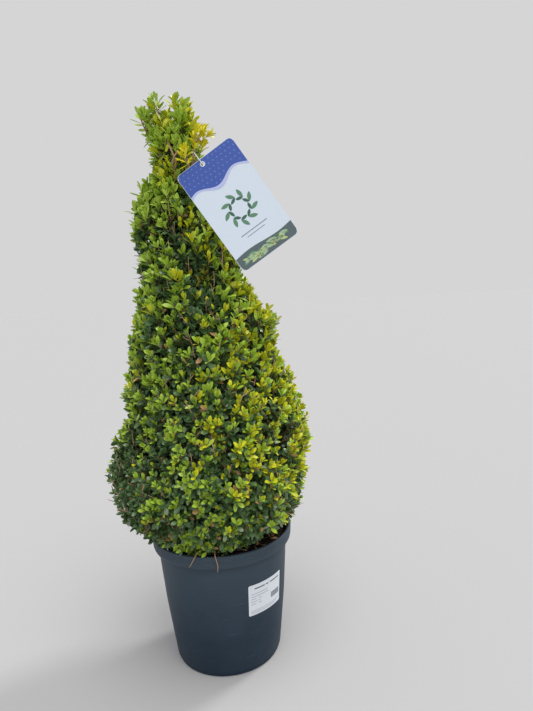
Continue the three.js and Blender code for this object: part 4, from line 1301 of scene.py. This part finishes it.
# %% [markdown]
# Leaves, joined
#
# Sixty thousand separate leaves would choke the file, so they are joined into a few meshes, one for
# each kind of leaf in each tier of the crown. First all corners are placed, and the leaves that would
# cut something are dropped.

# %% Join the leaves tier by tier
foliage = {tier: [node for node in nodes if node.startswith(f"foliage_{tier}_")] for tier in TIERS}


def tier_at(height):
    """The number of the tier at a height."""
    return np.searchsorted([tier["high"] for tier in TIERS.values()], height)


young_placed = place_leaves(young_corners, outer_leaves)
old_placed = place_leaves(old_corners, outer_leaves)
deep_placed = place_leaves(deep_corners, inner_leaves)
outer_tier = tier_at(outer_spray["height"])[outer_leaves["spray"]]
inner_tier = tier_at(inner_spray["height"])[inner_leaves["spray"]]
outer_stays = keeps_out(young_placed)
inner_stays = keeps_out(deep_placed)
print(int((~outer_stays).sum() + (~inner_stays).sum()), "leaves were left off")

kinds = [
    ("young_leaves", FRESH, young_placed, young_faces, fresh, "leaf_green"),
    ("golden_leaves", GOLD, young_placed, young_faces, gold, "leaf_gold"),
    ("mature_leaves", MATURE, old_placed, old_faces, mature, "leaf_deep"),
    ("dry_leaves", DRY, old_placed, old_faces, dry, "leaf_gold"),
]
for t, tier in enumerate(TIERS):
    for name, kind, placed, faces, finishes, slot in kinds:
        own = outer_stays & (outer_kind == kind) & (outer_tier == t)
        if own.any():
            leaves = [(placed[own], faces, outer_shade[own])]
            join_copies(f"{name}_{tier}", leaves, finishes, foliage[tier])
    own = inner_stays & (inner_tier == t)
    deep_leaves = [(deep_placed[own], deep_faces, inner_shade[own])]
    join_copies(f"inner_leaves_{tier}", deep_leaves, mature, foliage[tier])

# %% [markdown]
# The twigs that carry the leaves
#
# Each spray's twig is joined to its bough by a thin branch. Shoots are green at the tip of the plant's
# coat, twigs are tan, and branches deep inside are grey.

# %% Join the twigs tier by tier
SHOOT_RADIUS = (0.9 * MM, 0.45 * MM)
TWIG_RADIUS = (1.5 * MM, 0.9 * MM)
BRANCH_RADIUS = (2.6 * MM, 1.5 * MM)
TAN, GREY, GREEN = range(3)
STEM_FROM, STEM_TO = 262, 1096
# In the spire a branch leaves the trunk a little under its twig, between these heights.
BRANCH_DROP, BRANCH_LOWEST, BRANCH_HIGHEST = 60, 900, 1090
# On a bough branches leave from this share of its length on, over this share of it.
BOUGH_FROM, BOUGH_OVER, STEP_BY = 0.55, 0.4, 0.618


def branch_start(i, tier, root_height, azimuth):
    """Where the branch of a numbered spray leaves its bough, or the trunk in the spire."""
    if not tier["sectors"]:
        leaves_at = min(max(root_height / MM - BRANCH_DROP, BRANCH_LOWEST), BRANCH_HIGHEST)
        return smooth_path(STEM_PATH, (leaves_at - STEM_FROM) / (STEM_TO - STEM_FROM))
    wide = 2 * math.pi / tier["sectors"]
    sector = int(((azimuth - math.radians(tier["turn"])) % (2 * math.pi)) / wide)
    rows = bough_rows(tier, min(sector, tier["sectors"] - 1))
    return smooth_path(rows, BOUGH_FROM + BOUGH_OVER * ((i * STEP_BY) % 1))


def branch_paths(twigs, spray):
    """Branches from boughs or the trunk to the roots of sprays."""
    tiers = [list(TIERS.values())[t] for t in tier_at(spray["height"])]
    sprays = zip(range(len(tiers)), tiers, twigs["start"][:, 2], spray["azimuth"])
    starts = np.array([branch_start(*row) for row in sprays]) * MM
    bends = (starts + twigs["start"]) / 2 + (twigs["start"] - twigs["bend"]) * 0.5
    return {"start": starts, "bend": bends, "end": twigs["start"], "spray": twigs["spray"]}


all_twigs = []
for twigs, shoots, spray, points in (
    (outer_twigs, outer_shoots, outer_spray, 4),
    (inner_twigs, inner_shoots, inner_spray, 3),
):
    for table, rings, radii, sides, shade in (
        (branch_paths(twigs, spray), 6, BRANCH_RADIUS, 3, GREY),
        (twigs, 5, TWIG_RADIUS, 4, TAN),
        (shoots, points, SHOOT_RADIUS, 3, GREEN),
    ):
        corners, faces = bowed_tubes(table, rings, radii, sides)
        own_tier = tier_at(spray["height"])[table["spray"]]
        all_twigs.append((corners, faces, shade, own_tier, keeps_out(corners)))
for t, tier in enumerate(TIERS):
    parts = [(corners[stays & (own == t)], faces, shade) for corners, faces, shade, own, stays in all_twigs]
    join_copies(f"twigs_{tier}", parts, twig_shades, foliage[tier])

# %% [markdown]
# Bare stems in the hollows
#
# Old stems show where the coat is hollow or thin: pale, thin, forked and without leaves. They are
# spread over the crown like the sprays, and only those that stand in a hollow stay. Each rises to just
# behind the coat and forks on its way.

# %% Grow bare stems
BARE_STEMS = 900
BARE_RADIUS = (0.9 * MM, 0.45 * MM)
# How deep a hollow is in which a stem shows, and how far each stem starts under its end.
HOLLOW, BARE_DROP = 0.0155, (0.016, 0.034)
FORKS_AT = (0.3, 0.6)

rng = np.random.default_rng(88)
height, azimuth = spread_sites(rng, BARE_STEMS, WAIST)
depth = CLUMP_DEPTH * (1 - clumps(height, azimuth)) * slimness(height, 0.25)
depth = depth + at_places(THIN_PLACES, height, azimuth)
height, azimuth, depth = (values[depth > HOLLOW] for values in (height, azimuth, depth))
stems = len(height)
ends = crown_point(height, azimuth, depth * rng.uniform(0.7, 1.05, stems))
foot_height = height - rng.uniform(*BARE_DROP, stems)
starts = crown_point(foot_height, azimuth + rng.normal(0, 0.06, stems), depth + 0.008)
bends = (starts + ends) / 2 + rng.normal(0, 0.002, (stems, 3))
forks = bow(starts, bends, ends, rng.uniform(*FORKS_AT, stems))
tips = ends + rng.normal(0, 0.006, (stems, 3)) - np.array([0, 0, 0.004])
fork_bends = (forks + tips) / 2 + rng.normal(0, 0.0015, (stems, 3))
bare = stacked(
    [{"start": starts, "bend": bends, "end": ends}, {"start": forks, "bend": fork_bends, "end": tips}]
)
corners, faces = bowed_tubes(bare, 5, BARE_RADIUS, 4)
stays = keeps_out(corners)
shade = rng.integers(TAN, GREY + 1, len(stays))
join_copies("bare_stems", [(corners[stays], faces, shade[stays])], twig_shades)

# %% [markdown]
# The side spray
#
# One strong shoot left the clipped outline beside the waist, and the tag is tied to it. In the sun it
# has gone gold, and its youngest leaves orange. It has the same crossed pairs, on a few named shoots.

# %% Grow the side spray
# The ends of its shoots, in millimetres. Each starts at the tip of the side bough.
SIDE_SHOOTS = [(23, -69, 1081), (10, -76, 1080), (31, -62, 1074), (1, -62, 1074), (17, -58, 1086)]
# More shoots leave the bough lower down and clothe it.
LOWER_SHOOTS = [(-18, -84, 1032), (16, -66, 1050), (-16, -66, 1050), (4, -84, 1046)]
SIDE_PAIRS = 5
SIDE_RADIUS = (1.5 * MM, 0.6 * MM)
SIDE_SHADES = ["#d6cf1a", "#b9c724", "#96b52e", "#6f9c32"]

rng = np.random.default_rng(77)
side_count = len(SIDE_SHOOTS) + len(LOWER_SHOOTS)
side_start = [SIDE_BOUGH_PATH[-1]] * len(SIDE_SHOOTS) + [SIDE_BOUGH_PATH[2]] * len(LOWER_SHOOTS)
side_start = np.array(side_start) * MM
side_end = np.array(SIDE_SHOOTS + LOWER_SHOOTS) * MM
side_twigs = {
    "start": side_start,
    "bend": side_start * 0.5 + side_end * 0.5 + np.array([0, 0, 0.004]),
    "end": side_end,
    "spray": np.arange(side_count),
    "vigour": np.full(side_count, 1.15),
    "tone": np.zeros(side_count),
    "lot": np.zeros(side_count),
}
side_leaves = pair_leaves(rng, side_twigs, SIDE_PAIRS)
own = side_leaves["spray"]
shade = np.rint(0.5 * side_leaves["pair"] + 0.9 * (own % 3 == 0) + 1.8 * (own >= len(SIDE_SHOOTS)))
shade = np.clip(shade + rng.integers(-1, 2, len(own)), 0, LAST_SHADE).astype(int)
placed = place_leaves(young_corners, side_leaves)
stays = keeps_out(placed)
side_gold = shade_finishes("side_spray_leaf", SIDE_SHADES, 0.42, 0.1)
side_spray = [(placed[stays], young_faces, shade[stays])]
join_copies("golden_leaves_side", side_spray, side_gold, ["foliage_side_spray"])
side_shoots = [(*bowed_tubes(side_twigs, 7, SIDE_RADIUS, 6), GREEN)]
join_copies("twigs_side", side_shoots, twig_shades, ["foliage_side_spray"])

# %% [markdown]
# Litter in the pot
#
# Clippings and old leaves drop into the pot and dry there. They lie flat on the compost, mostly at its
# edge, and a few dead stems lean over the rim.

# %% Strew dry leaves
LITTER = 90
LITTER_EDGE, LITTER_HEIGHT = 0.012, 0.2605

rng = np.random.default_rng(5)
distance = (inner_radius - LITTER_EDGE) * np.sqrt(rng.uniform(0.35, 1, LITTER))
turn = rng.uniform(0, 2 * math.pi, LITTER)
along = aim(rng.uniform(0, 2 * math.pi, LITTER), np.radians(rng.normal(4, 9, LITTER)))
face = unit(np.array([0, 0, 1.0]) + rng.normal(0, 0.25, (LITTER, 3)))
litter = {
    "root": around(distance, turn, np.full(LITTER, LITTER_HEIGHT)),
    "along": along,
    "face": unit(square_to(face, along)),
    "length": rng.uniform(*LEAF_LENGTH, LITTER),
    "width": rng.uniform(0.8, 1.1, LITTER),
    "cup": rng.uniform(0.1, 0.6, LITTER),
    "curl": rng.uniform(-0.2, 0.3, LITTER),
}
placed = place_leaves(young_corners, litter)
lies = (np.hypot(placed[..., 0], placed[..., 1]) < inner_radius).all(axis=1)
litter = [(placed[lies], young_faces, rng.integers(0, len(dry), int(lies.sum())))]
join_copies("leaf_litter", litter, dry)

# %% [markdown]
# Named stems
#
# A few stems show one by one, so each has a path of its own. Dead ones lean over the pot's rim. Under
# the tip the coat is thin, and two old stems cross in the gap. One carries on into the tip.

# %% Lean stems over the rim and cross two in the waist
DEAD_STEMS = [
    [(-6, -112, 268), (-3, -136, 283), (-1, -152, 279), (3, -155, 262), (2, -154, 248)],
    [(-30, -108, 268), (-33, -134, 284), (-38, -148, 281), (-46, -151, 268), (-52, -148, 258)],
    [(38, -106, 266), (49, -124, 276), (58, -138, 281)],
    [(84, -78, 262), (101, -86, 264), (113, -66, 262)],
    [(-60, -98, 266), (-72, -112, 275), (-84, -122, 282)],
]
WAIST_STEMS = [
    [(-36, -12, 998), (-40, -38, 1016), (-37, -55, 1034), (-43, -62, 1052), (-50, -56, 1072)],
    [(-46, -16, 1006), (-46, -42, 1020), (-40, -58, 1036), (-30, -60, 1050)],
]
STEM_RINGS, STEM_SIDES = 14, 6

for name, stems, radii in (
    ("dead_stems", DEAD_STEMS, (1.3 * MM, 0.7 * MM)),
    ("waist_stems", WAIST_STEMS, (2.6 * MM, 1.5 * MM)),
):
    paths = np.array([smooth_path(rows, np.linspace(0, 1, STEM_RINGS)) for rows in stems]) * MM
    join_copies(name, [(*tubes(paths, radii, STEM_SIDES), TAN)], twig_shades[:2])

# %% [markdown]
# The card tag
#
# The tag is die-cut from white polypropylene film and printed on both sides, with a satin gloss. The
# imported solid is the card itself. The print is a generic one, without words: a royal blue head with
# pale dots and a wavy foot, a wreath of box leaves, two plain rules, and a slate strip of leaves. Each
# printed shape starts as a grid whose two long edges are moved on to curves, and it lies a tenth of a
# millimetre proud of the film, so that it shows from both the picture and the side.

# %% Helpers for printed shapes
INK = 0.12


def band(left, right, upper, lower, columns=1, rows=1, thick=INK):
    """A thin solid between two curves over a stretch of x, in millimetres, left in object mode."""
    piece = start(bpy.ops.mesh.primitive_grid_add, x_subdivisions=columns, y_subdivisions=rows, size=1)
    shape = bmesh.from_edit_mesh(piece.data)
    for v in shape.verts:
        x = left + (v.co.x + 0.5) * (right - left)
        v.co = Vector((x, lower(x) + (v.co.y + 0.5) * (upper(x) - lower(x)), 0)) * MM
    bmesh.update_edit_mesh(piece.data)
    bpy.ops.mesh.select_all(action="SELECT")
    lift(thick * MM)
    close_shape()
    return piece


def straight(left, right, middle, weight, columns=1):
    """A straight band round a height, with a weight."""
    return band(left, right, lambda x: middle + weight / 2, lambda x: middle - weight / 2, columns)


def rounded(left, right, edge, radius):
    """A straight edge whose two corners are rounded downwards, or upwards for a negative radius."""

    def curve(x):
        inside = min(x - left, right - x, abs(radius))
        drop = abs(radius) - math.sqrt(max(abs(radius) ** 2 - (abs(radius) - inside) ** 2, 0))
        return edge - math.copysign(drop, radius)

    return curve


def leaf_shape(length, wide):
    """A printed leaf along x."""

    def half(x):
        return wide / 2 * math.sin(math.pi * min(max(x / length, 0), 1)) ** 0.8

    return band(0, length, half, lambda x: -half(x), columns=14)


def disc(radius, sides, **settings):
    """A flat disc, left in edit mode."""
    add = bpy.ops.mesh.primitive_circle_add
    return start(add, vertices=sides, radius=radius * MM, fill_type="NGON", **settings)


def printed(piece, ink, place):
    """Gives a printed shape its ink and its place, and leaves its object at the origin."""
    piece.data.materials.append(ink)
    piece.data.transform(place @ piece.matrix_world)
    piece.matrix_world = Matrix.Identity(4)
    return piece


# %% Inks and film
GLOSS = 0.2
# Each row is a roughness, how much gloss lies over it, and the inks that have them.
TAG_INKS = [
    (0.38, 0.25, {"royal_blue": "#3a58ad", "pale_blue": "#6482c8", "lilac": "#b9c3ec"}),
    (0.4, 0.2, {"leaf_green": "#5c8a6c", "deep_green": "#3c6656", "slate": "#56666b"}),
    (0.4, 0.0, {"grey": "#8b96a8", "mint": "#6f9a78", "lime": "#bccb86", "pale_green": "#a3bf9a"}),
]

# The white film is painted a pale bluish grey: painted shade, as the card hangs in the plant's shade.
film = finish("tag_polypropylene_film_painted_shade", "#d7e4f2", 0.35, IOR=1.49, Coat_Weight=0.25, Coat_Roughness=GLOSS)
inks = {}
for roughness, coat, colours in TAG_INKS:
    for name, colour in colours.items():
        gloss = {"Coat_Weight": coat, "Coat_Roughness": GLOSS} if coat else {}
        inks[name] = finish(f"tag_ink_{name}", colour, roughness, **gloss)
print("The tag has", len(inks), "inks")

# %% The head of each side
TAG_CORNER, BARE_EDGE = 9, 0.7
HEAD_DEPTH, HEAD_WAVE, HEAD_BORDER, BORDER_WAVE = 52, 7, 6, 2
WAVE_COLUMNS = 64
DOT_PITCH, DOT_RADIUS, DOT_ROWS, DOT_COLUMNS, DOT_EDGE, DOT_TOP = 9.5, 1.5, 6, 14, 4, 6
EYELET = (3.9, 5.1)


def eyelet(inner, outer, thick):
    """A flat ring round the hole."""
    piece = disc(outer, 32)
    bpy.ops.mesh.inset(thickness=(outer - inner) * MM)
    bpy.ops.mesh.delete(type="FACE")
    bpy.ops.mesh.select_all(action="SELECT")
    lift(thick * MM)
    close_shape()
    return piece


def print_head(left, right, side):
    """The blue head with its wavy foot, its border, its dots and the ring round the hole."""
    wide = right - left

    def wave(x):
        return tag_top - HEAD_DEPTH + HEAD_WAVE * math.sin(2 * math.pi * (x - left) / wide * 1.5 + 0.5)

    def border(x):
        return wave(x) - HEAD_BORDER + BORDER_WAVE * math.sin(math.pi * (x - left) / wide * 3)

    top = rounded(left, right, tag_top - BARE_EDGE, TAG_CORNER)
    head = band(left, right, top, wave, WAVE_COLUMNS)
    drill_out(head, vertices=32, radius=(EYELET[0] + 0.2) * MM, depth=0.01)
    pieces = [
        printed(head, inks["royal_blue"], side),
        printed(band(left, right, wave, border, WAVE_COLUMNS), inks["lilac"], side),
        printed(eyelet(*EYELET, INK * 2), film, side),
    ]
    for row in range(DOT_ROWS):
        for column in range(DOT_COLUMNS):
            x = left + DOT_EDGE + DOT_PITCH * (column + 0.5 * (row % 2))
            y = tag_top - DOT_TOP - DOT_PITCH * row
            if x > right - DOT_EDGE or y < wave(x) + DOT_EDGE or y > top(x) - 2 * DOT_RADIUS:
                continue
            if math.hypot(x, y) < EYELET[1] + 2 * DOT_RADIUS:
                continue
            dot = disc(DOT_RADIUS, 8, location=(x * MM, y * MM, 0))
            lift(INK * 1.5 * MM)
            close_shape()
            pieces.append(printed(dot, inks["pale_blue"], side))
    return pieces


# %% The wreath, the strip and the rules
WREATH_STEPS, WREATH_RADIUS = 9, 22
# How far each leaf of a pair leans, its length and its ink.
WREATH_PAIR = ((58, 19, "leaf_green"), (126, 15, "deep_green"))
STRIP_DEPTH, STRIP_WAVE = 28, 2.5
STRIP_LEAVES, STRIP_LEAF_LENGTH, STRIP_LEAF_WIDTH = 46, (14, 21), 5.4
# Where along the strip its leaves start, what length they leave free, and between which heights they lie.
LEAF_FROM, LEAF_SPARE, LEAF_LOW, LEAF_HIGH = 7, 36, 5, STRIP_DEPTH - 6


def print_wreath(middle, side):
    """A ring of leaves in pairs, one leaning outwards and one inwards."""
    pieces = []
    for i in range(WREATH_STEPS):
        base = (
            Matrix.Translation(Vector((*middle, 0)) * MM)
            @ Matrix.Rotation(2 * math.pi / WREATH_STEPS * i, 4, "Z")
            @ Matrix.Translation((WREATH_RADIUS * MM, 0, 0))
        )
        for lean, length, ink in WREATH_PAIR:
            place = base @ Matrix.Rotation(math.radians(lean), 4, "Z")
            pieces.append(printed(leaf_shape(length, 0.4 * length), inks[ink], side @ place))
    return pieces


def print_strip(rng, left, right, side):
    """The slate foot strip with scattered leaves."""
    wide = right - left

    def top(x):
        return tag_foot + STRIP_DEPTH + STRIP_WAVE * math.sin(2 * math.pi * (x - left) / wide)

    foot = rounded(left, right, tag_foot + BARE_EDGE, -TAG_CORNER)
    pieces = [printed(band(left, right, top, foot, WAVE_COLUMNS), inks["slate"], side)]
    for i in range(STRIP_LEAVES):
        x = left + LEAF_FROM + (wide - LEAF_SPARE) * (i + rng.uniform(0, 1)) / STRIP_LEAVES
        y = rng.uniform(LEAF_LOW, LEAF_HIGH)
        turn = math.copysign(rng.uniform(0.05, 0.5), STRIP_DEPTH / 2 - y)
        height = INK * (0.4 + 0.25 * (i % 3))
        place = Matrix.Translation(Vector((x, tag_foot + y, height)) * MM) @ Matrix.Rotation(turn, 4, "Z")
        ink = inks[("mint", "lime", "pale_green")[i % 3]]
        leaf = leaf_shape(rng.uniform(*STRIP_LEAF_LENGTH), STRIP_LEAF_WIDTH)
        pieces.append(printed(leaf, ink, side @ place))
    return pieces


def print_rules(rules, side):
    """Plain rules, each given by its left end, its height, its length and its weight."""
    return [
        printed(straight(left, left + length, height, weight), inks["grey"], side)
        for left, height, length, weight in rules
    ]


# %% Print the tag
WREATH_HEIGHT = -108
BACK_RULES = 9

rng = np.random.default_rng(9)
on_face = Matrix.Translation((0, 0, TAG_THICKNESS / 2 * MM))
front = tag_frame @ on_face
back = tag_frame @ Matrix.Rotation(math.pi, 4, "Y") @ on_face
left, right = tag_left + BARE_EDGE, tag_right - BARE_EDGE
shapes = print_head(left, right, front)
shapes += print_wreath((TAG_ASIDE, WREATH_HEIGHT), front)
shapes += print_rules([(TAG_ASIDE - 30, -153, 60, 1.8), (TAG_ASIDE - 20, -160, 40, 1.4)], front)
shapes += print_strip(rng, left, right, front)
shapes += print_head(-right, -left, back)
shapes += print_rules([(12 - right, -72 - 13 * i, 104 - 9 * (i % 3), 1.6) for i in range(BACK_RULES)], back)
hand_over(join(shapes), "tag_print", ())
give_materials(nodes["tag_card"], [film])

# %% [markdown]
# The loop tie
#
# The card hangs on a moulded white loop, smooth and a millimetre and a half thick. It runs round the
# back of the side bough, down both faces of the card and through its hole. It starts as a torus, whose
# rings are moved on to that route. The route is the solid's own, worked out again from the bough and
# the card, and its curve is a centripetal one, which doesn't loop where points stand close together.

# %% Work out the tie's route
TIE_RADIUS = 0.8
TIE_RINGS, TIE_SIDES = 120, 10
# How far along the side bough the tie wraps it, in how many steps, and how loosely.
WRAPS_AT, WRAP_POINTS, WRAP_ROOM = 0.88, 6, 0.5
HOLE_RADIUS = 3.2


def closed_curve(points, share):
    """Points of a centripetal curve through a closed round of points, at shares of its way round."""
    count = len(points)
    gaps = np.sqrt(np.linalg.norm(np.roll(points, -1, axis=0) - points, axis=1))
    out = []
    for value in (share % 1) * count:
        i = int(value) % count
        a, b, c, d = (points[(i + k) % count] for k in (-1, 0, 1, 2))
        before, here, after = gaps[(i - 1) % count], gaps[i], gaps[(i + 1) % count]
        leave = ((b - a) / before - (c - a) / (before + here) + (c - b) / here) * here
        arrive = ((c - b) / here - (d - b) / (here + after) + (d - c) / after) * here
        t = value - int(value)
        cubic = 2 * b - 2 * c + leave + arrive
        square = -3 * b + 3 * c - 2 * leave - arrive
        out.append(cubic * t**3 + square * t**2 + leave * t + b)
    return np.array(out)


def tie_points():
    """The tie's route, in millimetres."""
    centre, after, before = smooth_path(SIDE_BOUGH_PATH, WRAPS_AT + np.array([0, 0.01, -0.01]))
    axis = unit(after - before)
    hole = np.array(TAG_HOLE, float)
    facing = np.array(tag_frame.to_3x3() @ Vector((0, 0, 1)))
    pull = centre - hole
    in_card = unit(square_to(pull, facing))
    wrap = side_radius(WRAPS_AT) + WRAP_ROOM + 2 * TIE_RADIUS
    sideways = unit(square_to(facing, axis))
    away = unit(np.cross(sideways, axis))
    away = away * np.sign(np.dot(away, pull))
    angle = math.pi * (0.5 - np.arange(WRAP_POINTS + 1) / WRAP_POINTS)
    stand = TAG_THICKNESS / 2 + 2.2 * TIE_RADIUS
    # How far up the card and how far off its middle the loop runs, down its back and up its front.
    beside = [(TAG_INSET, -stand - 2), (HOLE_RADIUS + 1, -stand), (0.6, -TIE_RADIUS)]
    beside += [(0.6, TIE_RADIUS), (HOLE_RADIUS + 1, stand), (TAG_INSET + 1, stand)]
    down_and_up = [hole + in_card * up + facing * off for up, off in beside]
    return np.concatenate([centre + wrap * between(away, sideways, angle), down_and_up])


# %% Model the tie
tie_rings = {"major_segments": TIE_RINGS, "minor_segments": TIE_SIDES}
tie = start(bpy.ops.mesh.primitive_torus_add, major_radius=1, minor_radius=0.25, **tie_rings)
bpy.ops.object.mode_set(mode="OBJECT")
x, y, z = read_corners(tie).T
ring_of = np.rint((np.arctan2(y, x) / (2 * math.pi) % 1) * TIE_RINGS).astype(int) % TIE_RINGS
route = closed_curve(tie_points(), np.arange(TIE_RINGS) / TIE_RINGS)
ahead = unit(np.roll(route, -1, axis=0) - np.roll(route, 1, axis=0))
sides = [across(ahead[0], (0.3, 0.2, 0.9))[0]]
for direction in ahead[1:]:
    sides.append(unit(square_to(sides[-1], direction)))
sides = np.array(sides)
others = np.cross(ahead, sides)
closing = math.atan2(np.dot(sides[0], others[-1]), np.dot(sides[0], sides[-1]))
angle = np.arctan2(z, np.hypot(x, y) - 1) + closing * ring_of / TIE_RINGS
move_corners(tie, route[ring_of] + TIE_RADIUS * between(sides[ring_of], others[ring_of], angle))
bpy.ops.object.mode_set(mode="EDIT")
close_shape()
tie_plastic = finish("tie_moulded_nylon", "#eef0ee", 0.3, IOR=1.53, Coat_Weight=0.15)
hand_over(tie, "tag_tie_loop", [tie_plastic], ["tag_tie"], smooth=70)

# %% [markdown]
# The sticker
#
# A label of coated paper sticks to the pot's side and bends with its wall. It is nearly matt. Its own
# print is generic too: a bold rule, a few thin ones and a block of even bars. Everything is laid out
# flat and then bent round the pot: across becomes the way round, up stays up, and thickness becomes
# distance from the wall.

# %% Print the sticker and bend it round the pot
STICKER_WIDTH, STICKER_HEIGHT, STICKER_THICKNESS = 86, 66, 0.4
STICKER_FACING, STICKER_FOOT, STICKER_CORNER, STICKER_GAP = math.radians(-46), 131, 2.5, 0.3
STICKER_COLUMNS, STICKER_ROWS = 86, 6
BARS, BAR_PITCH, BAR_WIDTH, BAR_HEIGHT, BAR_MIDDLE = 15, 1.8, 0.99, 12, 26
RULE_PITCH, COLUMN_WIDTH = 5.5, 3


def wall_radius(height):
    """The pot's outer radius at a height."""
    heights, radii = np.array(POT_WALL, float).T
    return np.interp(height, heights, radii)


def bend_round(piece, off, ink):
    """Bends a flat shape round the pot at a distance from its wall and gives it its ink."""
    for v in piece.data.vertices:
        x, up, out = v.co / MM
        height = STICKER_FOOT + up
        radius = (wall_radius(height) + STICKER_GAP + off + out) * MM
        azimuth = STICKER_FACING + x / wall_radius(STICKER_FOOT)
        v.co = Vector((radius * math.cos(azimuth), radius * math.sin(azimuth), height * MM))
    piece.data.materials.append(ink)
    return piece


paper = finish("sticker_coated_paper", "#dfe5ee", 0.5, Coat_Weight=0.12, Coat_Roughness=0.3)
black = finish("sticker_ink_black", "#474e59", 0.55)
grey = finish("sticker_ink_grey", "#98a1ad", 0.55)
# Every rule and bar: its two ends, its height, its weight and its ink.
marks = [(left, right, 57, 2.4, black) for left, right in ((-30, -6), (-3, 4), (8, 36))]
marks += [(-38, right, 46 - RULE_PITCH * i, 1.1, grey) for i, right in enumerate((2, 4, -26, -24, -27))]
marks += [(-21, right, 35 - RULE_PITCH * i, 1.1, grey) for i, right in enumerate((-14, -16, -13))]
bar_lefts = [12 + BAR_PITCH * i for i in range(BARS)]
marks += [(left, left + BAR_WIDTH, BAR_MIDDLE, BAR_HEIGHT, black) for left in bar_lefts]
marks += [(-38, 36 - 6 * i, 10 - 3 * i, 0.8, grey) for i in range(3)]

half = STICKER_WIDTH / 2
top = rounded(-half, half, STICKER_HEIGHT, STICKER_CORNER)
foot = rounded(-half, half, 0, -STICKER_CORNER)
label = band(-half, half, top, foot, STICKER_COLUMNS, STICKER_ROWS, STICKER_THICKNESS)
shapes = [bend_round(label, 0, paper)]
for left, right, middle, weight, ink in marks:
    mark = straight(left, right, middle, weight, max(int((right - left) / COLUMN_WIDTH), 1))
    shapes.append(bend_round(mark, STICKER_THICKNESS, ink))
hand_over(join(shapes), "pot_sticker_printed", (), ["pot_sticker"])

# %% Measure the dressed plant and finish
low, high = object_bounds()
print("The dressed plant is", [round(value, 3) for value in high - low], "metres")
